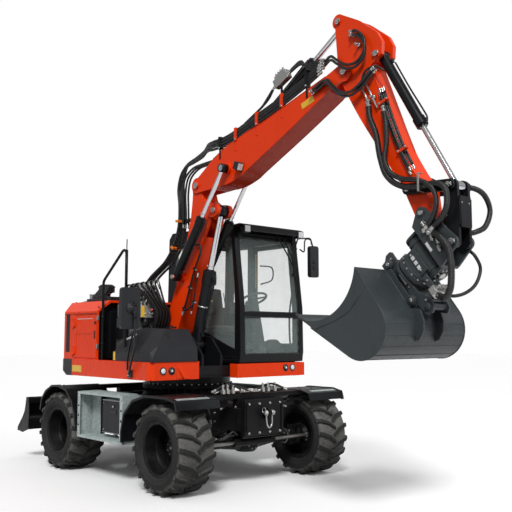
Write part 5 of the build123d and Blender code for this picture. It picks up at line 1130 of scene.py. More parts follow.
    # slanted facet beside the right lamps
    s.plate([(0.0, 0.148), (0.08, 0.148), (0.175, 0.004), (0.095, 0.004)], at(0.864, -0.795, 1.222),
        (0.2, 0.98, 0), Z, 0.012, "body", 0.002)
    s.box((-0.975, -1.1735, 1.268), (-0.73, -1.1705, 1.352), "yellow", 0.0005)
    s.make("round_lamp_lenses", "upper_structure", "lamp")


def build_mirrors():
    s = Shape()
    outline = [(-1.45, 1.83), (-1.22, 1.83), (-1.212, 2.27), (-1.442, 2.27)]
    s.plate(outline, at(0.6385, 0, 0), Y, Z, -0.0015, "silver")
    s.turned((0.705, -1.325, 2.05), X, [(0, 0.07), (0.01, 0.066), (0.016, 0.035), (0.034, 0.028)],
        "plastic", 24)
    s.disc((0.725, -1.29, 2.075), Z, 0.019, 0.03, "black", 14)
    s.disc((0.725, -1.29, 1.93), Z, 0.019, 0.03, "black", 14)
    for z in (1.27, 1.31):
        s.nut((0.45, -1.1955, z), -Y, 0.014)
    # stay that braces the pole from the skirt
    s.tube([(0.4, -1.178, 1.34), (0.46, -1.215, 1.46), (0.6, -1.265, 1.66), (0.712, -1.29, 1.79)], 0.022,
        "black", 10, 6)
    out = CAB_OUT
    s.plate([(out + 0.185, 2.55), (out + 0.315, 2.55), (out + 0.315, 2.94), (out + 0.185, 2.94)],
        at(0.9045, 0, 0), Y, Z, -0.0015, "silver")
    for z in (2.66, 2.74):
        s.turned((0.965, out + 0.25, z), X, [(0, 0.03), (0.006, 0.028), (0.012, 0.012)], "plastic", 18)
    s.turned((0.82, out + 0.022, 2.92), Y, [(0, 0.02), (0.02, 0.02), (0.024, 0.012)], "zinc", 14)
    s.make("mirror_glass", "upper_structure", "plastic")


# Cab
def screen_x(z):
    """Outer face of the windscreen's plane."""
    return 0.975 - (z - 2.1) * 0.1313 if z > 2.1 else 0.975 + (2.1 - z) * 0.01724


def seal(s, corners):
    """A rubber seal round a pane."""
    for a, b in zip(corners, corners[1:] + corners[:1]):
        s.rod(a, b, 0.009, "seal", 8)


def build_cab_trim():
    s = Shape()
    low, high = CAB_IN + 0.07, CAB_OUT - 0.07
    # seals round the two front panes and the side panes
    for z0, z1 in ((2.036, 2.984), (1.506, 1.974)):
        rim = [(low + 0.006, z0), (high - 0.006, z0), (high - 0.006, z1), (low + 0.006, z1)]
        rim = [Vector(p).lerp(Vector(q), k / 4) for p, q in zip(rim, rim[1:] + rim[:1]) for k in range(4)]
        seal(s, [at(screen_x(z) - 0.01, y, z) for y, z in rim])
    right = [(-0.42, 2.0), (0.88, 1.56), (0.88, 2.3), (0.8, 3.0), (-0.43, 3.0)]
    left = [(-0.48, 2.15), (-0.09, 2.15), (-0.09, 3.0), (-0.44, 3.0)]
    for y, ring in ((CAB_IN + 0.008, right), (CAB_OUT - 0.008, left)):
        corners = [at(x, y, z) for x, z in ring]
        mid = sum(corners, Vector()) / len(corners)
        seal(s, [corner.lerp(mid, 0.01) for corner in corners])
    # sliding pane's rail in the right window
    s.rod((0.215, CAB_IN + 0.01, 1.8), (0.215, CAB_IN + 0.01, 2.99), 0.01, "seal", 8)
    # sun visor over the windscreen, with a square lamp at each corner
    visor = [(0.74, 3.146), (0.93, 3.157), (1.0, 3.14), (1.03, 3.075), (1.012, 3.052), (0.985, 3.1),
        (0.925, 3.122), (0.845, 3.104)]
    s.plate(visor, at(0, CAB_OUT - 0.02, 0), X, Z, CAB_OUT - CAB_IN - 0.04, "black", 0.004)
    for y in (CAB_IN + 0.075, CAB_OUT - 0.075):
        s.box((0.955, y - 0.052, 3.03), (1.03, y + 0.052, 3.128), "plastic", 0.008)
        s.box((1.026, y - 0.042, 3.04), (1.036, y + 0.042, 3.118), "lens", 0.004)
    for y in (0.42, 0.83):
        s.box((0.86, y - 0.012, 3.08), (0.98, y + 0.012, 3.104), "plastic", 0.003)
    # roof rails, rain lip and the hatch's frame
    for y in (CAB_IN + 0.012, CAB_OUT - 0.012):
        line = [at(-0.575, y, 3.085), at(-0.5, y, 3.15), at(0.78, y, 3.15), at(0.842, y, 3.085)]
        for a, b in zip(line, line[1:]):
            s.rod(a, b, 0.011, "black", 8)
    s.box((-0.12, CAB_IN + 0.18, 3.1585), (0.52, CAB_OUT - 0.18, 3.16), "black")
    # wipers with their motor's cover and blades
    for line in (((0.774, 3.11), (1.021, 2.72), (1.075, 2.548)),
            ((0.871, 3.105), (1.047, 2.777), (1.053, 2.546))):
        pts = [at(screen_x(z) + 0.02, y, z) for y, z in line]
        s.tube(pts, 0.019, "black", 6, 6)
    s.turned((screen_x(2.55) - 0.004, 1.065, 2.548), (1, 0, 0.13),
        [(0, 0.024), (0.026, 0.022), (0.034, 0.012)], "black", 14)
    # bowed arm of the left mirror
    s.tube([(0.915, 1.185, 2.9), (0.9, 1.28, 2.88), (0.9, 1.292, 3.01), (0.895, 1.33, 3.056),
        (0.89, 1.415, 3.052), (0.885, 1.445, 2.985)], 0.02, "plastic", 8, 6)
    # grab bar at the front post and handles inside
    bar = [(0.93, 1.095, 2.357), (0.867, 1.092, 2.322), (0.806, 1.09, 2.014), (0.823, 1.09, 1.612),
        (0.93, 1.095, 1.56)]
    s.tube(bar, 0.026, "plastic", 10, 6)
    bar = [(0.885, 0.15, 1.7), (0.845, 0.15, 1.73), (0.8, 0.15, 2.2), (0.765, 0.15, 2.65), (0.8, 0.15, 2.7)]
    s.tube(bar, 0.024, "plastic", 10, 6)
    # vents, skirt seams, step edge of the doorway
    for k in range(7):
        x = -0.54 + 0.02 * k
        s.box((x, CAB_OUT - 0.002, 1.7), (x + 0.01, CAB_OUT + 0.003, 2.02), "black", 0.001)
        s.box((x, CAB_IN - 0.003, 1.6), (x + 0.01, CAB_IN + 0.002, 1.84), "black", 0.001)
    s.box((0.0, CAB_OUT - 0.045, 1.4405), (0.88, CAB_OUT + 0.006, 1.446), "zinc", 0.001)
    for z in (1.43, 1.47):
        s.box((0.05, CAB_IN - 0.004, z), (0.93, CAB_IN + 0.001, z + 0.006), "plastic")
    s.make("cab_trim", "upper_structure", "black_paint")

    s = Shape()
    loop = [(0.217, 1.112, 2.719), (0.24, 1.078, 2.715), (0.469, 1.078, 2.673), (0.468, 1.078, 2.506),
        (0.25, 1.078, 2.462), (0.238, 1.112, 2.462)]
    s.tube(loop, 0.02, "plastic", 8, 6)
    s.box((0.0655, 1.126, 2.41), (0.068, 1.142, 2.9), "yellow")
    ring = [(0.068, 1.623), (0.817, 1.623), (0.817, 2.1), (0.723, 2.947), (0.068, 2.947)]
    seal(s, [at(x, CAB_OUT - 0.012, z) for x, z in ring])
    s.turned((0.842, CAB_OUT + 0.022, 1.87), Y, [(0, 0.014), (0.008, 0.012)], "zinc", 14)
    s.box((0.05, CAB_OUT - 0.001, 1.475), (0.83, CAB_OUT + 0.004, 1.485), "plastic", 0.001)
    s.box((0.3, CAB_OUT - 0.001, 1.53), (0.52, CAB_OUT + 0.002, 1.58), "white", 0.0005)
    s.make("cab_door_trim", "cab_door", "plastic")


def puffed(name, low, high, bulge, seams, tilt=0.0, middle=None):
    """A crowned cushion with piped seams: a grid pressed out between its seam lines."""
    bm = bmesh.new()
    bmesh.ops.create_cube(bm, size=1.0)
    bmesh.ops.subdivide_edges(bm, edges=bm.edges[:], cuts=11, use_grid_fill=True)
    size = [b - a for a, b in zip(low, high)]
    mid = [(a + b) / 2 for a, b in zip(low, high)]
    thin = size.index(min(size))
    flat_axes = [i for i in range(3) if i != thin]
    for v in bm.verts:
        p = [c * 2 for c in v.co]
        u, w = (p[i] for i in flat_axes)
        crown = (1 - abs(u) ** 3) * (1 - abs(w) ** 3)
        for line in seams:
            crown *= 1 - 0.55 * exp(-((u - line) / 0.07) ** 2)
        p[thin] *= 0.72 + 0.28 * crown + bulge * crown
        for i in flat_axes:
            p[i] *= 1 - 0.06 * abs(p[thin]) ** 2 - 0.03 * abs(p[flat_axes[0]] * p[flat_axes[1]])
        v.co = Vector([m + c * s / 2 for m, c, s in zip(mid, p, size)])
    mesh = bpy.data.meshes.new(name)
    bm.to_mesh(mesh)
    bm.free()
    mesh.materials.append(MATS["fabric"])
    mesh.polygons.foreach_set("use_smooth", [True] * len(mesh.polygons))
    obj = new_object(name, mesh)
    if tilt:
        pivot = Matrix.Translation(middle)
        mesh.transform(pivot @ Matrix.Rotation(tilt, 4, "Y") @ pivot.inverted())
    soft = obj.modifiers.new("round", "SUBSURF")
    soft.levels = soft.render_levels = 1
    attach(obj, "upper_structure")
    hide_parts("seat")
    return obj


def build_seat():
    y = 0.625
    cushion = puffed("seat_cushion", at(-0.3, y - 0.24, 1.765), at(0.175, y + 0.24, 1.868), 0.16,
        (-0.45, 0.45))
    back = puffed("seat_backrest", at(-0.375, y - 0.225, 1.85), at(-0.245, y + 0.225, 2.425), 0.12, (),
        radians(-9.5), at(-0.26, y, 1.83))
    rest = puffed("seat_headrest", at(-0.412, y - 0.125, 2.455), at(-0.335, y + 0.125, 2.635), 0.12, ())
    s = Shape()
    for k in range(7):
        z = 1.5 + 0.036 * k
        grow = 0.012 * (k % 2)
        s.box((-0.27 - grow, y - 0.175 - grow, z), (0.1 + grow, y + 0.175 + grow, z + 0.034), "plastic",
            0.008)
    s.box((-0.29, y - 0.19, 1.453), (0.11, y + 0.19, 1.5), "black", 0.006)
    s.box((-0.3, y - 0.21, 1.75), (0.15, y + 0.21, 1.772), "plastic", 0.006)
    for side in (-1, 1):
        s.rod((-0.376, y + side * 0.06, 2.405), (-0.374, y + side * 0.06, 2.48), 0.008, "zinc", 8)
    s.box((-0.3, y + 0.215, 1.77), (-0.26, y + 0.235, 1.83), "red", 0.004)
    belt = [(-0.25, y + 0.238, 1.8), (-0.278, y + 0.243, 2.05), (-0.33, y + 0.236, 2.35)]
    s.tube(belt, 0.012, "fabric", 6, 5)
    s.make("seat_base", "upper_structure", "plastic")
    s = Shape()
    for side in (-1, 1):
        c = y + side * 0.33
        s.turned((0.09, c, 2.0555), Z, [(0, 0.04), (0.012, 0.034), (0.02, 0.036), (0.034, 0.026),
            (0.042, 0.028), (0.06, 0.018)], "seal", 18)
        s.box((0.105, c - 0.014, 2.19), (0.126, c + 0.014, 2.215), "yellow", 0.003)
        for k in range(4):
            s.box((-0.08 + 0.03 * k, c - 0.035, 2.0555), (-0.062 + 0.03 * k, c - 0.01, 2.073), "white",
                0.003)
        s.turned((-0.12, c + 0.02, 2.0555), Z, [(0, 0.016), (0.016, 0.014)], "orange", 12)
        rest_low = at(-0.32, c - 0.04, 2.06)
        s.box(rest_low, rest_low + Vector((0.2, 0.08, 0.022)), "fabric", 0.008)
    # display at the right front post, with its arm
    turn = Matrix.Rotation(radians(-24), 3, "Z")
    mid = at(0.72, 0.235, 2.09)
    s.block(mid, (0.014, 0.095, 0.07), "plastic", 0.006, turn)
    face = mid + turn @ X * -0.015
    s.block(face, (0.001, 0.08, 0.055), "silver", 0.0, turn)
    s.tube([mid + Vector((0.01, 0, -0.06)), mid + Vector((0.04, -0.03, -0.2)), (0.8, 0.165, 1.75)], 0.022,
        "black", 8, 5)
    for side in (-1, 1):
        for k in range(4):
            x = 0.715 + 0.02 * k
            s.box((x, y + side * 0.13 - 0.04, 1.5125), (x + 0.01, y + side * 0.13 + 0.04, 1.518), "seal",
                0.001)
    # foot rest and its pedal beside the door
    s.plate([(0.7, 1.456), (1.035, 1.456), (1.022, 1.51), (0.977, 1.62), (0.88, 1.69), (0.76, 1.65),
        (0.7, 1.56)], at(0.62, 0, 0), Y, Z, 0.17, "plastic", 0.012)
    s.tube([(0.625, 0.965, 1.52), (0.63, 1.005, 1.56), (0.63, 1.04, 1.615), (0.63, 1.085, 1.625)], 0.022,
        "plastic", 8, 5)
    for y in (0.455, 0.56):
        s.rod((0.66, y, 1.455), (0.7, y, 1.58), 0.008, "black", 8)
        s.box((0.69, y - 0.032, 1.56), (0.704, y + 0.032, 1.64), "black", 0.004)
    s.make("cab_controls", "upper_structure", "plastic")


# Boom and arm
def cylinder_pipe(s, foot, head, y, side, ports, half, line, thick):
    """Port blocks and the steel pipe of a cylinder; their places are (along, off) its axis."""
    a, b = at(foot[0], y, foot[1]), at(head[0], y, head[1])
    d = (b - a).normalized()
    up = Vector((-d.z, 0, d.x)) * side
    for along, off in ports:
        s.block(a + d * along + up * off, half, "black", 0.003)
    s.tube([a + d * along + up * off for along, off in line], thick, "black", 8, 6)
    return a, d, up


def bundle(s, line, offsets, diameter, name, ends=(True, True), steps=7, to=None, rib=0.0):
    """Several hoses side by side along one line; to gives their offsets at its end."""
    for i, (dy, dz) in enumerate(offsets):
        ey, ez = to[i] if to else (dy, dz)
        last = len(line) - 1
        pts = [at(x, y + dy + (ey - dy) * k / last, z + dz + (ez - dz) * k / last)
            for k, (x, y, z) in enumerate(line)]
        s.tube(pts, diameter, name, 8, steps, rib)
        if ends[0]:
            s.fitting(pts[0], pts[0] - pts[1], diameter * 0.85)
        if ends[1]:
            s.fitting(pts[-1], pts[-1] - pts[-2], diameter * 0.85)


def guarded(s, line, diameter):
    """One hose in its ribbed guard."""
    bundle(s, line, [(0, 0)], diameter, "guard", steps=8, rib=0.1)


def weld_beads(s, half, lines, thick, steps):
    """Beads along the seams of a box section, on both its faces."""
    for y in (BOOM_Y - half - 0.0005, BOOM_Y + half + 0.0005):
        for line in lines:
            s.tube([(x, y, z) for x, z in line], thick, "body", 6, steps)


def clamp(s, place, along, wide, high, name="zinc"):
    """A saddle clamp over a row of hoses, with its two bolts."""
    turn = frame_of(along, Y).to_3x3()
    p = at(*place)
    s.block(p, (high / 2, wide / 2, 0.014), name, 0.003, turn)
    up = turn @ X
    across = turn @ Y
    for k in (-0.36, 0.36):
        s.nut(p + up * (high / 2) + across * (wide * k), up, 0.014)


def pin_ends(s, place, half, radius):
    """Both ends of a cross pin: collar and grease nipple; on the right end also a keeper plate with one
    bolt.
    """
    for side in (-1, 1):
        p = at(place[0], BOOM_Y + side * half, place[1])
        out = Y * side
        s.turned(p, out, [(-0.004, radius), (0.006, radius), (0.009, radius - 0.004)], "zinc", 22)
        s.turned(p + out * 0.008, out, [(0, 0.006), (0.006, 0.006), (0.012, 0.003)], "zinc", 8)
        if side < 0:
            s.box(p + Vector((-radius * 0.7, -0.016, -0.016)), p + Vector((radius * 1.7, -0.008, 0.016)),
                "zinc", 0.003)
            s.nut(p + Vector((radius * 1.35, -0.016, 0)), out, 0.018)


def rod_end(s, place, y, half, radius):
    """Painted sleeve round the eye at the end of a chromed rod."""
    s.turned((place[0], y - half, place[1]), Y, [(0, radius - 0.012), (0, radius), (2 * half, radius),
        (2 * half, radius - 0.012)], "black", 26, ring=True)


HOSE_ROW = [(-0.066, 0.0), (-0.022, 0.012), (0.022, 0.012), (0.066, 0.0)]
HOSE_STACK = [(-0.006, -0.052), (-0.01, -0.017), (-0.008, 0.018), (0.004, 0.052)]


def build_lower_boom():
    sizes = bpy.context.scene.excavator_sizes
    s = Shape()
    half = 0.12
    pin_ends(s, (0.01, 1.63), 0.181, 0.036)
    s.make("boom_foot_pins", "upper_structure", "steel")
    s = Shape()
    face = BOOM_Y - half
    # weld beads along both edges of the box section
    edge = [(0.128, 2.142), (0.19, 2.255), (0.4, 2.75), (0.545, 3.204), (0.59, 3.56)]
    front = [(0.436, 2.15), (0.551, 2.4), (0.675, 2.69), (0.8, 2.95)]
    weld_beads(s, half, (edge, front), 0.01, 2)
    pin_ends(s, MAIN_HEAD, 0.133, 0.034)
    pin_ends(s, ADJUST_FOOT, 0.281, 0.031)
    # steel pipes up the right face with their clamps
    back = face - 0.022
    long_pipe = [at(x, back, z) for x, z in ((0.425, 2.04), (0.489, 2.164), (0.559, 2.334), (0.658, 2.559),
        (0.765, 2.735))]
    short_pipe = [at(x, back, z) for x, z in ((0.6, 2.04), (0.635, 2.137), (0.662, 2.237), (0.687, 2.373),
        (0.715, 2.455))]
    for pts, thick in ((long_pipe, sizes.pipe), (short_pipe, 0.018)):
        s.hose(pts, thick, "black", 8, 5, thick, 0.024)
    s.tube([(0.765, back, 2.735), (0.8, back - 0.01, 2.795), (0.77, back - 0.014, 2.85),
        (0.66, back, 2.862)], 0.028, "hose", 8, 6)
    s.tube([(0.642, back, 2.16), (0.628, back - 0.022, 2.105), (0.56, back - 0.026, 2.066),
        (0.47, back - 0.026, 2.046)], 0.024, "hose", 8, 6)
    for x, z, tx, tz in ((0.442, 2.072, 0.45, 0.89), (0.559, 2.334, 0.4, 0.92), (0.658, 2.559, 0.45, 0.89),
            (0.64, 2.15, 0.25, 0.97)):
        clamp(s, (x, face - 0.021, z), (tx, 0, tz), 0.024, 0.06, "black")
    # hose clamps at the rear edge
    for (x, z), (tx, tz) in (((0.085, 2.88), (0.5, 0.86)), ((0.19, 3.22), (0.1, 1))):
        turn = frame_of((tx, 0, tz), Y).to_3x3()
        s.block((x, BOOM_Y, z), (0.03, 0.095, 0.016), "orange", 0.005, turn)
    s.box((0.1, BOOM_Y - 0.03, 2.86), (0.43, BOOM_Y + 0.03, 2.9), "black", 0.004)
    s.box((0.2, BOOM_Y - 0.03, 3.2), (0.54, BOOM_Y + 0.03, 3.24), "black", 0.004)
    s.make("lower_boom_fittings", "lower_boom", "body_paint")

    # hoses that rise from the valves behind the lower boom
    s = Shape()
    rise = [(-0.2, BOOM_Y - 0.33, 2.02), (-0.235, BOOM_Y - 0.3, 2.24), (-0.18, BOOM_Y - 0.19, 2.48),
        (-0.06, BOOM_Y - 0.05, 2.68), (0.04, BOOM_Y, 2.84), (0.085, BOOM_Y, 2.9)]
    bundle(s, rise, HOSE_ROW, sizes.hose, "hose", (True, False))
    obj = s.make("boom_foot_hoses", "", "tread", ride=False)
    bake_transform(obj)
    s = Shape()
    over = [(0.085, BOOM_Y, 2.9), (0.15, BOOM_Y, 3.04), (0.19, BOOM_Y, 3.22), (0.185, BOOM_Y, 3.46),
        (0.15, BOOM_Y, 3.66), (0.191, BOOM_Y, 3.843), (0.29, BOOM_Y, 3.95), (0.475, BOOM_Y, 3.995),
        (0.666, BOOM_Y - 0.02, 4.035), (0.82, BOOM_Y - 0.07, 4.075), (1.01, BOOM_Y - 0.125, 4.06)]
    bundle(s, over, HOSE_ROW, sizes.hose, "hose", (False, False), to=HOSE_STACK)
    inner = [(0.269, BOOM_Y, 3.168), (0.26, BOOM_Y, 3.4), (0.255, BOOM_Y, 3.6), (0.31, BOOM_Y, 3.78),
        (0.48, BOOM_Y, 3.88), (0.7, BOOM_Y, 3.9), (0.88, BOOM_Y, 3.905)]
    bundle(s, inner, [(-0.044, 0), (0.0, 0.0), (0.044, 0)], 0.026, "hose", (True, False))
    obj = s.make("knee_hoses", "", "tread", ride=False)
    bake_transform(obj)
    # main cylinder: port blocks, pipe, ring and the bolts of its head
    s = Shape()
    a, d, up = cylinder_pipe(s, (0.51, 1.62), MAIN_HEAD, BOOM_Y, -1, ((0.86, 0.098), (0.15, 0.08)),
        (0.02, 0.02, 0.02), ((0.86, 0.118), (0.83, 0.133), (0.5, 0.105), (0.23, 0.115)), 0.02)
    s.turned(a + d * 0.488, d, [(0, 0.0705), (0, 0.075), (0.024, 0.075), (0.024, 0.0705)], "zinc", 24,
        ring=True)
    bolt_ring(s, a + d * 1.012, up, Y, 0.044, 8, d, 0.016)
    s.make("main_cylinder_fittings", "main_barrel", "black_paint")
    s = Shape()
    rod_end(s, MAIN_HEAD, BOOM_Y, 0.0615, 0.0735)
    s.make("main_rod_end", "main_rod", "black_paint")
    s = Shape()
    for side in (-1, 1):
        rod_end(s, ADJUST_HEAD, BOOM_Y + side * ADJUST_Y, 0.0445, 0.0515)
    s.make("adjusting_rod_ends", "adjust_rods", "black_paint")
    s = Shape()
    for side in (-1, 1):
        a, d, up = cylinder_pipe(s, ADJUST_FOOT, ADJUST_HEAD, BOOM_Y + side * ADJUST_Y, -1,
            ((0.11, 0.06), (0.86, 0.06)), (0.016, 0.016, 0.016),
            ((0.86, 0.075), (0.83, 0.09), (0.5, 0.078), (0.16, 0.085)), 0.016)
        bolt_ring(s, a + d * 0.9265, up, Y, 0.03, 6, d, 0.012)
    s.make("adjusting_cylinder_fittings", "adjust_barrels", "black_paint")


def build_upper_boom():
    s = Shape()
    half = 0.14
    face = BOOM_Y - half
    for place, wide, radius in (((0.678, 3.608), 0.159, 0.037), ((3.173, 4.414), 0.159, 0.035),
            (ARM_CYLINDER_FOOT, 0.107, 0.032)):
        pin_ends(s, place, wide, radius)
    top = [(1.011, 3.89), (1.4, 4.045), (1.9, 4.15), (2.4, 4.288), (2.916, 4.43)]
    low = [(1.146, 3.528), (1.352, 3.545), (1.566, 3.604), (1.67, 3.656), (2.377, 3.98), (2.913, 4.243)]
    weld_beads(s, half, (top, low), 0.009, 3)
    # hoses along the right edge of the top, in their saddle clamps
    side = BOOM_Y - 0.125
    line = [(1.01, side, 4.06), (1.2, side, 4.065), (1.4, side, 4.1), (1.62, side, 4.16),
        (1.85, side, 4.225), (2.1, side, 4.29), (2.349, side, 4.365), (2.6, side, 4.45), (2.8, side, 4.53)]
    bundle(s, line, HOSE_STACK, bpy.context.scene.excavator_sizes.hose, "hose", (False, True))
    far = [(0.88, BOOM_Y + 0.1, 3.905), (1.15, BOOM_Y + 0.11, 3.99), (1.5, BOOM_Y + 0.122, 4.1),
        (1.9, BOOM_Y + 0.124, 4.185), (2.4, BOOM_Y + 0.122, 4.32), (2.8, BOOM_Y + 0.12, 4.43)]
    bundle(s, far, [(0, 0), (0, 0.034)], 0.028, "hose", (False, True))
    for x, z, key in ((1.15, 4.062, "black"), (1.45, 4.114, "body"), (1.83, 4.22, "body"),
            (2.25, 4.335, "body"), (2.64, 4.465, "black")):
        s.box((x - 0.02, side - 0.034, z - 0.082), (x + 0.02, side + 0.026, z + 0.076), key, 0.006)
        s.nut((x, side - 0.033, z - 0.065), -Y, 0.018)
        s.box((x - 0.014, side - 0.02, z - 0.2), (x + 0.014, side - 0.012, z - 0.075), key, 0.002)
    # manifold beside the arm cylinder, with its hoses
    turn = Matrix.Rotation(radians(-24), 3, "Y")
    mid = at(2.23, BOOM_Y - 0.115, 4.585)
    s.block(mid, (0.115, 0.036, 0.052), "zinc", 0.008, turn)
    s.block(mid + turn @ Z * 0.066, (0.08, 0.03, 0.018), "zinc", 0.005, turn)
    s.box((2.215, side - 0.004, 4.34), (2.245, side + 0.004, 4.56), "black", 0.002)
    for k in range(4):
        low = mid + turn @ Vector((-0.115, -0.027 + 0.018 * k, -0.03 + 0.02 * k))
        away = turn @ -X
        s.fitting(low, away, 0.02)
        goal = at(1.8 - 0.04 * k, side + 0.01 * k, 4.3 - 0.012 * k)
        s.tube([low + away * 0.04, low + away * 0.16 + Z * (-0.05 - 0.01 * k),
            goal + Vector((0.1, 0, 0.045)), goal, goal + Vector((-0.2, 0, -0.085))], 0.024, "hose", 8, 7)
        high = mid + turn @ Vector((0.115, -0.027 + 0.018 * k, -0.036 + 0.024 * k))
        away = turn @ X
        s.fitting(high, away, 0.02)
        s.tube([high + away * 0.04, high + away * 0.2 + Z * -0.02, (2.64, side + 0.005, 4.64 - 0.016 * k),
            (2.84, side + 0.005, 4.64 - 0.03 * k)], 0.024, "hose", 8, 7)
        s.fitting(mid + turn @ Vector((-0.06 + 0.04 * k, 0, 0.083)), turn @ Z, 0.02)
        s.fitting((2.83, side + 0.005, 4.64 - 0.03 * k), (1, 0, -0.3), 0.026)
    # square work lamp on its bracket
    s.plate([(0, 0), (0.14, -0.06), (0.16, 0.05), (0.01, 0.09)], at(1.43, face - 0.002, 3.69), X, Z, 0.006,
        "black", 0.001)
    turn = Matrix.Rotation(radians(24), 3, "Y")
    mid = at(1.557, face - 0.052, 3.7)
    s.block(mid, (0.04, 0.044, 0.046), "plastic", 0.008, turn)
    s.box(mid + turn @ X * 0.04 - Vector((0.004, 0.036, 0.038)),
        mid + turn @ X * 0.04 + Vector((0.003, 0.036, 0.038)), "lens", 0.003, turn)
    for k in range(5):
        q = mid + turn @ Vector((-0.046, 0, -0.034 + 0.017 * k))
        s.block(q, (0.008, 0.036, 0.003), "black", 0.001, turn)
    s.box((1.54, face - 0.03, 3.65), (1.575, face + 0.001, 3.672), "black", 0.002)
    slope = Matrix.Rotation(radians(-15.5), 3, "Y")
    mid = at(2.65, face - 0.0008, 4.215)
    s.block(mid, (0.095, 0.0009, 0.034), "yellow", 0.0, slope)
    s.make("upper_boom_fittings", "upper_boom", "body_paint")

    s = Shape()
    ports = ((0.13, 0.064), (0.93, 0.064))
    a, d, up = cylinder_pipe(s, ARM_CYLINDER_FOOT, ARM_CYLINDER_HEAD, BOOM_Y, 1, ports,
        (0.017, 0.02, 0.017), ((0.93, 0.082), (0.88, 0.092), (0.5, 0.084), (0.17, 0.088)), 0.018)
    for along, off in ports:
        s.fitting(a + d * along + up * off + Y * 0.02, (0, 1, 0.2), 0.02)
    for along in (0.35, 0.7):
        s.turned(a + d * along, d, [(0, 0.057), (0, 0.0605), (0.02, 0.0605), (0.02, 0.057)], "black", 22,
            ring=True)
    s.make("arm_cylinder_fittings", "arm_barrel", "black_paint")


def build_arm():
    s = Shape()
    half = 0.11
    face = BOOM_Y - half
    for place, wide, radius in ((ARM_CYLINDER_HEAD, 0.125, 0.031), (BUCKET_CYLINDER_FOOT, 0.125, 0.031),
            ((3.935, 3.085), 0.145, 0.027)):
        pin_ends(s, place, wide, radius)
    front = [(3.5, 4.4), (3.862, 3.48), (4.031, 3.198), (4.13, 3.04)]
    rear = [(3.075, 4.4), (3.205, 4.159), (3.364, 3.885), (3.571, 3.572), (3.831, 3.177)]
    weld_beads(s, half, (front, rear), 0.009, 3)
    # pipes and hoses down the right face
    line = [(3.64, face - 0.02, 4.08), (3.72, face - 0.02, 3.83), (3.84, face - 0.02, 3.53),
        (3.96, face - 0.02, 3.29)]
    bundle(s, line, [(0, 0), (0.0, -0.036), (0.034, 0.012), (0.06, 0.03)], 0.026, "hose")
    s.rod((3.43, face - 0.024, 4.276), (3.6, face - 0.024, 3.94), 0.01, "zinc", 10)
    s.rod((3.395, face - 0.022, 4.21), (3.5, face - 0.022, 3.99), 0.01, "zinc", 10)
    s.tube([(3.4, face - 0.03, 4.215), (3.47, face - 0.05, 4.33), (3.6, face - 0.05, 4.35),
        (3.69, face - 0.02, 4.29)], 0.024, "hose", 8, 7)
    for x, z in ((3.655, 3.985), (3.87, 3.47)):
        turn = Matrix.Rotation(radians(-20), 3, "Y")
        mid = at(x, face - 0.016, z)
        s.box(mid - Vector((0.04, 0.018, 0.014)), mid + Vector((0.075, 0.018, 0.014)), "body", 0.004, turn)
        for k in (-0.03, 0.064):
            s.nut(mid + turn @ Vector((k, -0.018, 0)), -Y, 0.016)
    for x, z in ((3.301, 4.769), (3.365, 4.645), (3.547, 4.06)):
        s.turned((x, face + 0.001, z), -Y, [(0, 0.024), (0.022, 0.024), (0.03, 0.018)], "zinc", 12)
        s.fitting((x, face - 0.028, z), -Y, 0.022)
    s.make("arm_fittings", "arm", "body_paint")
    # loops from the boom's tip to the arm
    s = Shape()
    high = [(2.86, -0.345, 4.57), (2.993, -0.392, 4.586), (3.105, -0.425, 4.512), (3.24, -0.435, 4.42),
        (3.374, -0.432, 4.41), (3.47, -0.42, 4.5), (3.46, -0.405, 4.64), (3.354, -0.4, 4.75),
        (3.3, -0.392, 4.765)]
    bundle(s, high, [(0, 0), (0.0, 0.04)], 0.03, "hose", (False, True))
    low = [(2.78, -0.412, 4.33), (2.954, -0.42, 4.38), (3.06, -0.435, 4.29), (3.173, -0.44, 4.194),
        (3.308, -0.44, 4.161), (3.44, -0.435, 4.21), (3.53, -0.412, 4.3), (3.56, -0.395, 4.335)]
    bundle(s, low, [(0, 0), (0, -0.038), (-0.036, -0.018)], 0.028, "guard")
    obj = s.make("arm_joint_hoses", "", "tread", ride=False)
    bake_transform(obj)
    s = Shape()
    a, d, up = cylinder_pipe(s, BUCKET_CYLINDER_FOOT, ROCKER_PIN, BOOM_Y, 1, ((0.13, 0.058), (0.9, 0.058)),
        (0.016, 0.018, 0.016), ((0.9, 0.076), (0.85, 0.086), (0.5, 0.078), (0.17, 0.08)), 0.017)
    bolt_ring(s, a + d * 0.9435, up, Y, 0.03, 6, d, 0.012)
    s.make("bucket_cylinder_fittings", "bucket_barrel", "black_paint")


# Coupler and bucket
TOOL_U = Vector((cos(radians(-53)), 0, sin(radians(-53))))
TOOL_V = Vector((-TOOL_U.z, 0, TOOL_U.x))
TOOL_TURN = Matrix((TOOL_U, Y, TOOL_V)).transposed()


def in_tool(u, v, y=0.0):
    """A place in the coupler's frame: u along the tilt axis, v away from the bucket."""
    return at(4.071, BOOM_Y + y, 2.43) + TOOL_U * u + TOOL_V * v


def in_shell(angle, radius):
    """A place about the centre of the bucket's round back."""
    a = radians(angle)
    return 0.305 + radius * cos(a), -0.644 + radius * sin(a)


def tool_box(s, u, v, y, half, name, edge=0.002):
    s.block(in_tool(u, v, y), half, name, edge, TOOL_TURN)


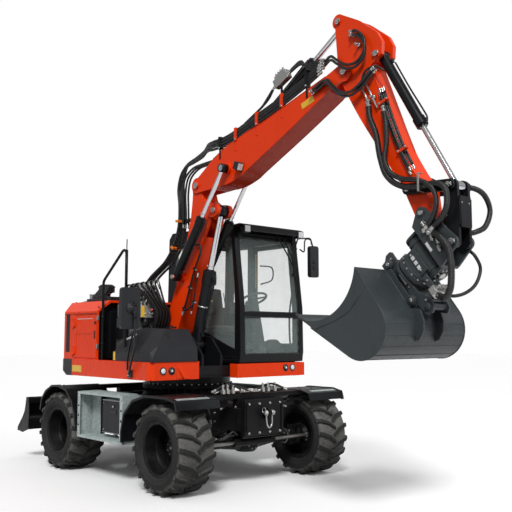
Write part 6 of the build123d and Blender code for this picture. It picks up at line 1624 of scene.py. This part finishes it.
def build_tool():
    s = Shape()
    pin_ends(s, ROCKER_PIN, 0.151, 0.027)
    s.make("rocker_pins", "rocker", "steel")
    s = Shape()
    for side in (-1, 1):
        s.box((4.425, BOOM_Y + side * 0.088 - 0.006, 2.7), (4.47, BOOM_Y + side * 0.088 + 0.006, 2.94),
            "black", 0.003)
    for z in (2.74, 2.9):
        for side in (-1, 1):
            s.nut(at(4.4745, BOOM_Y + side * 0.055, z) - X * 0.008, (1, 0, 0.02), 0.018, "zinc", 0.3)
    s.make("push_link_bolts", "push_link", "black_paint")
    s = Shape()
    pin_ends(s, (4.085, 2.843), 0.147, 0.024)
    # hose ends on the hitch plates
    for side in (-1, 1):
        for k in range(4):
            q = in_tool(-0.13 + 0.062 * k, 0.245 - 0.03 * (k % 2), side * 0.136)
            s.turned(q, Y * side, [(0, 0.02), (0.016, 0.02), (0.02, 0.014)], "zinc", 10)
            s.fitting(q + Y * side * 0.016, TOOL_U + Y * side * 0.35, 0.024)
    pin_ends(s, (4.405, 2.555), 0.149, 0.029)
    for u in (-0.262, 0.172):
        out = TOOL_U if u > 0 else -TOOL_U
        q = in_tool(u + (0.026 if u > 0 else 0.0), 0)
        bolt_ring(s, q, Y, TOOL_V, 0.072, 10, out, 0.018, shift=0.5)
        s.turned(q, out, [(0, 0.041), (0.016, 0.041), (0.02, 0.036)], "zinc", 22)
    tool_box(s, -0.05, 0.1345, 0.09, (0.085, 0.03, 0.0012), "white", 0.0)
    for side in (-1, 1):
        tool_box(s, -0.02, 0.13, side * 0.1345, (0.05, 0.0012, 0.014), "white", 0.0)
    for k in range(5):
        s.fitting(in_tool(-0.235 + 0.052 * k, 0.222 + 0.014 * k, -0.158), TOOL_U, 0.024)
    s.tube([in_tool(-0.245 + 0.065 * k, 0.24 + 0.012 * k, -0.152) for k in range(5)], 0.012, "zinc", 6, 3)
    s.make("hitch_fittings", "hitch", "tool_grey")
    s = Shape()
    bolt_ring(s, in_tool(0, -0.15), TOOL_U, Y, 0.184, 16, TOOL_V, 0.018)
    for side in (-1, 1):
        for du in (-0.055, 0.0, 0.055):
            tool_box(s, -0.02 + du, -0.085, side * 0.101, (0.02, 0.0015, 0.018), "white", 0.0)
        for du in (-0.11, 0.07):
            s.nut(in_tool(du, -0.085, side * 0.1), Y * side, 0.02)
    for k in range(3):
        q = in_tool(-0.1 + 0.07 * k, -0.12, 0.182)
        s.fitting(q, TOOL_V, 0.022)
    for u in (-0.15, 0.1):
        q = in_tool(u, 0.084, -0.03)
        s.fitting(q, TOOL_V - Y * 0.6, 0.02)
    s.turned(in_tool(-0.03, -0.2, 0.182), -TOOL_V, [(0, 0.032), (0.03, 0.032), (0.036, 0.026)], "black", 18)
    # couplings beyond the tilt unit's end, on two plates
    tool_box(s, 0.35, -0.045, -0.11, (0.04, 0.1, 0.034), "zinc", 0.006)
    for y in (-0.165, -0.055):
        tool_box(s, 0.255, -0.05, y, (0.09, 0.008, 0.028), "tool")
        for u in (0.225, 0.3):
            s.nut(in_tool(u, -0.05, y - 0.009), -Y, 0.016)
    for k in range(4):
        s.fitting(in_tool(0.35, -0.01, -0.185 + 0.05 * k), TOOL_V, 0.024)
    s.make("tilt_unit_fittings", "tilt_unit", "tool_grey")
    s = Shape()
    for u in (-0.185, 0.245):
        for side in (-1, 1):
            q = in_tool(u, -0.302, side * 0.163)
            s.turned(q, Y * side, [(0, 0.041), (0.008, 0.041), (0.013, 0.034)], "tool", 22)
            s.turned(q + Y * side * 0.013, Y * side, [(0, 0.02), (0.004, 0.018)], "zinc", 18)
    for side in (-1, 1):
        q = in_tool(0.395, -0.205, side * 0.142)
        s.turned(q, Y * side, [(0, 0.031), (0.008, 0.031), (0.012, 0.026)], "tool", 22)
        tool_box(s, 0.02, -0.262, side * 0.131, (0.06, 0.0012, 0.02), "white", 0.0)
        for du in (-0.22, 0.12):
            s.nut(in_tool(du, -0.262, side * 0.13), Y * side, 0.02)
        for k in range(2):
            s.nut(in_tool(0.33 + 0.05 * k, -0.195, side * 0.13), Y * side, 0.018)
    s.make("coupler_fittings", "tool", "tool_grey")
    # bucket: weld beads, ribs on the side plates and fins below the ears
    s = Shape()
    half = 0.6
    tip_u, tip_v = -0.227, -1.192
    for side in (-1, 1):
        for y in (side * 0.134, side * 0.163):
            s.tube([in_tool(-0.22, -0.36, y), in_tool(0.03, -0.36, y), in_tool(0.27, -0.362, y)], 0.012,
                "tool", 6, 2)
        rim = [in_tool(0.305 + 0.2868 * cos(t), -0.644 + 0.2868 * sin(t), side * (half - 0.004))
            for t in [radians(90 - 156.1 * k / 18) for k in range(19)]]
        s.tube([in_tool(-0.16, -0.3575, side * (half - 0.004))] + rim
            + [in_tool(tip_u + 0.155, tip_v + 0.06, side * (half - 0.004))], 0.012, "tool", 6, 1)
        # rib from the lip to the shell's bend, on the outside of the side plate
        s.tube([in_tool(-0.02, -1.085, side * (half + 0.001)), in_tool(0.1, -0.7, side * (half + 0.001)),
            in_tool(0.06, -0.42, side * (half + 0.001))], 0.012, "tool", 6, 4)
        # hooked fin below each ear, which runs out along the shell
        fin = [in_shell(t, 0.284) for t in (92, 76, 60, 44, 28)]
        fin += [in_shell(t, r) for t, r in ((34, 0.33), (48, 0.362), (64, 0.372), (80, 0.372))]
        s.plate(fin, in_tool(0, 0, side * 0.148 - 0.009), TOOL_U, TOOL_V, -0.018, "tool", 0.003)
    # folds of the shell, between its flat strips
    for t in (62, 40, 18, -4, -26, -48):
        u, v = in_shell(t, 0.2862)
        s.tube([in_tool(u, v, -half + 0.01), in_tool(u, v, 0), in_tool(u, v, half - 0.01)], 0.007, "tool",
            6, 1)
    # weld along the cutting edge's plate
    s.tube([in_tool(tip_u + 0.16, tip_v + 0.067, -half), in_tool(tip_u + 0.16, tip_v + 0.067, 0),
        in_tool(tip_u + 0.16, tip_v + 0.067, half)], 0.01, "tool", 6, 1)
    s.make("bucket_fittings", "tool", "tool_grey")


def build_tool_hoses():
    out = BOOM_Y - 0.185
    s = Shape()
    # two guarded bundles down the arm, round the rocker and into the hitch
    one = [(3.5, out + 0.04, 3.96), (3.545, out, 3.84), (3.617, out, 3.667), (3.665, out, 3.42),
        (3.74, out, 3.235), (3.891, out, 3.12), (4.109, out, 3.07), (4.29, out - 0.005, 3.08),
        (4.395, out - 0.01, 3.01), (4.405, out - 0.01, 2.87), (4.34, out, 2.76), (4.25, out + 0.02, 2.7)]
    guarded(s, one, 0.056)
    two = [(3.69, out + 0.04, 3.87), (3.74, out, 3.74), (3.745, out, 3.56), (3.725, out - 0.01, 3.4),
        (3.79, out - 0.012, 3.26), (3.93, out - 0.014, 3.175), (4.12, out - 0.014, 3.13),
        (4.26, out - 0.014, 3.04), (4.3, out - 0.012, 2.9), (4.25, out, 2.78), (4.18, out + 0.02, 2.72)]
    guarded(s, two, 0.048)
    left = BOOM_Y + 0.18
    loop = [(3.98, left, 3.2), (4.15, left + 0.01, 3.11), (4.33, left + 0.03, 3.09), (4.425, 0.03, 3.055),
        (4.436, 0.14, 2.99), (4.438, 0.19, 2.87), (4.436, 0.11, 2.73), (4.42, -0.01, 2.67),
        (4.36, left + 0.005, 2.655), (4.28, left - 0.02, 2.68)]
    guarded(s, loop, 0.05)
    # metal strap round the two hoses
    s.box((4.128, out - 0.058, 3.02), (4.15, out - 0.052, 3.195), "zinc", 0.002)
    for z in (3.02, 3.189):
        s.box((4.128, out - 0.058, z), (4.15, out + 0.02, z + 0.006), "zinc", 0.002)
    obj = s.make("arm_tip_hoses", "", "tread", ride=False)
    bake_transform(obj)
    s = Shape()
    thick = [(4.24, out + 0.03, 2.64), (4.33, out - 0.012, 2.595), (4.408, out - 0.018, 2.5),
        (4.438, out - 0.02, 2.38), (4.44, out - 0.018, 2.25), (4.42, out - 0.012, 2.13), (4.36, out, 2.06),
        (4.29, out + 0.03, 2.075)]
    guarded(s, thick, 0.06)
    thin = [(4.38, left - 0.02, 2.5), (4.44, -0.08, 2.44), (4.452, -0.02, 2.33), (4.446, -0.09, 2.19),
        (4.42, -0.22, 2.105), (4.33, -0.29, 2.08), (4.25, -0.3, 2.12)]
    bundle(s, thin, [(0, 0)], 0.032, "hose")
    obj = s.make("tilt_unit_hoses", "", "tread", ride=False)
    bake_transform(obj)


# Studio
def build_studio():
    st = bpy.context.scene.excavator_studio
    scene = bpy.context.scene
    mesh = bpy.data.meshes.new("studio_floor")
    mesh.from_pydata([(-60, -60, 0), (60, -60, 0), (60, 60, 0), (-60, 60, 0)], [], [(0, 1, 2, 3)])
    mat, w, shader = blank("studio floor")
    # Painted shade: bounced light sees the floor at 0.14 of its colour, which darkens the machine's
    # undersides; camera rays, reflections and transmission see the full colour.
    rays = w.add("ShaderNodeLightPath")
    seen = w.plus(rays.outputs["Is Camera Ray"], rays.outputs["Is Glossy Ray"])
    seen = w.plus(seen, rays.outputs["Is Transmission Ray"], True)
    w.fill(shader, Base_Color=w.mix(seen, (*[c * 0.14 for c in st.floor], 1), (*st.floor, 1)),
        Roughness=0.75, Specular_IOR_Level=0.2)
    mesh.materials.append(mat)
    floor = new_object("studio_floor", mesh)

    world = bpy.data.worlds.new("studio")
    scene.world = world
    world.use_nodes = True
    tree = world.node_tree
    tree.nodes.clear()
    w = Wires(tree)
    out = w.add("ShaderNodeOutputWorld")
    seen = w.add("ShaderNodeBackground")
    w.fill(seen, Color=(1, 1, 1, 1), Strength=1.0)
    lit = w.add("ShaderNodeBackground")
    lit.inputs["Strength"].default_value = st.sky
    coords = w.add("ShaderNodeTexCoord")
    split = w.add("ShaderNodeSeparateXYZ")
    w.join(coords.outputs["Generated"], split.inputs[0])
    up = w.ramp(split.outputs["Z"], -0.15, 0.75)
    w.join(w.mix(up, (0.8, 0.8, 0.82, 1), (1.0, 1.0, 1.0, 1)), lit.inputs["Color"])
    mixer = w.add("ShaderNodeMixShader")
    path = w.add("ShaderNodeLightPath")
    shown = w.plus(path.outputs["Is Camera Ray"], path.outputs["Is Transmission Ray"], True)
    w.join(shown, mixer.inputs[0])
    w.join(lit.outputs[0], mixer.inputs[1])
    w.join(seen.outputs[0], mixer.inputs[2])
    w.join(mixer.outputs[0], out.inputs["Surface"])

    def lamp(name, kind, energy, place, target, size=4.0, colour=(1, 1, 1)):
        data = bpy.data.lights.new(name, kind)
        data.energy = energy
        data.color = colour
        if kind == "AREA":
            data.shape = "DISK"
            data.size = size
        else:
            data.angle = radians(14)
        obj = new_object(name, data)
        obj.location = place
        obj.rotation_euler = (Vector(target) - Vector(place)).to_track_quat("-Z", "Y").to_euler()

    lamp("key", "SUN", st.key, (9, -9, 13), (0, 0, 1.5))
    lamp("fill", "AREA", 260, (10, 5, 7), (0.5, 0, 2), 6.0, (0.96, 0.98, 1.0))

    data = bpy.data.cameras.new("view")
    data.sensor_width = 36.0
    data.sensor_fit = "HORIZONTAL"
    data.lens = st.lens
    data.clip_end = 300
    cam = new_object("view", data)
    yaw, pitch = 2.42271, 0.1057
    look = Vector((cos(yaw) * cos(pitch), sin(yaw) * cos(pitch), sin(pitch)))
    cam.location = at(8.258, -6.031, 1.721)
    cam.rotation_euler = look.to_track_quat("-Z", "Y").to_euler()
    scene.camera = cam
    scene.view_settings.view_transform = "Standard"


# Add-on: one operator for each group of pieces
class ExcavatorFinishes(bpy.types.Operator):
    """Make the materials and give each frame node its own"""
    bl_idname = "excavator.finishes"
    bl_label = "Finishes"
    bl_options = {"REGISTER", "UNDO"}

    def execute(self, context):
        make_materials()
        finish_nodes()
        return {"FINISHED"}


class ExcavatorTyres(bpy.types.Operator):
    """Build the four tyres with their chevron tread"""
    bl_idname = "excavator.tyres"
    bl_label = "Tyres"
    bl_options = {"REGISTER", "UNDO"}

    def execute(self, context):
        build_tyres()
        return {"FINISHED"}


class ExcavatorWheelNuts(bpy.types.Operator):
    """Build wheel nuts, hub bolts and valves"""
    bl_idname = "excavator.wheel_nuts"
    bl_label = "Wheel nuts"
    bl_options = {"REGISTER", "UNDO"}

    def execute(self, context):
        build_wheel_nuts()
        return {"FINISHED"}


class ExcavatorUndercarriage(bpy.types.Operator):
    """Build fasteners, hoses, shackle and step treads of the undercarriage"""
    bl_idname = "excavator.undercarriage"
    bl_label = "Undercarriage"
    bl_options = {"REGISTER", "UNDO"}

    def execute(self, context):
        build_undercarriage()
        build_steps()
        build_blade_fittings()
        return {"FINISHED"}


class ExcavatorDeck(bpy.types.Operator):
    """Build hood trim, valve hoses, lamps, plates and mirrors"""
    bl_idname = "excavator.deck"
    bl_label = "Deck and hood"
    bl_options = {"REGISTER", "UNDO"}

    def execute(self, context):
        build_hood_fittings()
        build_deck()
        build_mirrors()
        return {"FINISHED"}


class ExcavatorCab(bpy.types.Operator):
    """Build seals, wipers, handles, seat and controls of the cab"""
    bl_idname = "excavator.cab"
    bl_label = "Cab"
    bl_options = {"REGISTER", "UNDO"}

    def execute(self, context):
        build_cab_trim()
        build_seat()
        return {"FINISHED"}


class ExcavatorBoom(bpy.types.Operator):
    """Build pins, pipes and hoses of the boom and arm"""
    bl_idname = "excavator.boom"
    bl_label = "Boom and arm"
    bl_options = {"REGISTER", "UNDO"}

    def execute(self, context):
        build_lower_boom()
        build_upper_boom()
        build_arm()
        return {"FINISHED"}


class ExcavatorTool(bpy.types.Operator):
    """Build bolts, plates and hoses of the coupler and bucket"""
    bl_idname = "excavator.tool"
    bl_label = "Coupler and bucket"
    bl_options = {"REGISTER", "UNDO"}

    def execute(self, context):
        build_tool()
        build_tool_hoses()
        return {"FINISHED"}


class ExcavatorStage(bpy.types.Operator):
    """Set the floor, lights, background and camera"""
    bl_idname = "excavator.stage"
    bl_label = "Studio"
    bl_options = {"REGISTER", "UNDO"}

    def execute(self, context):
        build_studio()
        return {"FINISHED"}


STEPS = (ExcavatorFinishes, ExcavatorTyres, ExcavatorWheelNuts, ExcavatorUndercarriage, ExcavatorDeck,
    ExcavatorCab, ExcavatorBoom, ExcavatorTool, ExcavatorStage)
SETTINGS = ((ExcavatorColours, "excavator_colours"), (ExcavatorSizes, "excavator_sizes"),
    (ExcavatorStudio, "excavator_studio"))


class ExcavatorPanel(bpy.types.Panel):
    bl_idname = "VIEW3D_PT_excavator"
    bl_label = "Excavator"
    bl_space_type = "VIEW_3D"
    bl_region_type = "UI"
    bl_category = "Excavator"

    def draw(self, context):
        for step in STEPS:
            self.layout.operator(step.bl_idname)
        for group, name in SETTINGS:
            values = getattr(context.scene, name)
            column = self.layout.column()
            for field in group.__annotations__:
                column.prop(values, field)


def register():
    for group, name in SETTINGS:
        bpy.utils.register_class(group)
        setattr(bpy.types.Scene, name, PointerProperty(type=group))
    for cls in STEPS + (ExcavatorPanel,):
        bpy.utils.register_class(cls)


def unregister():
    for cls in reversed(STEPS + (ExcavatorPanel,)):
        bpy.utils.unregister_class(cls)
    for group, name in SETTINGS:
        delattr(bpy.types.Scene, name)
        bpy.utils.unregister_class(group)


def main():
    register()
    for step in STEPS:
        group, name = step.bl_idname.split(".")
        result = getattr(getattr(bpy.ops, group), name)()
        if result != {"FINISHED"}:
            raise RuntimeError(f"{step.bl_label} did not finish")


if __name__ == "__main__":
    main()
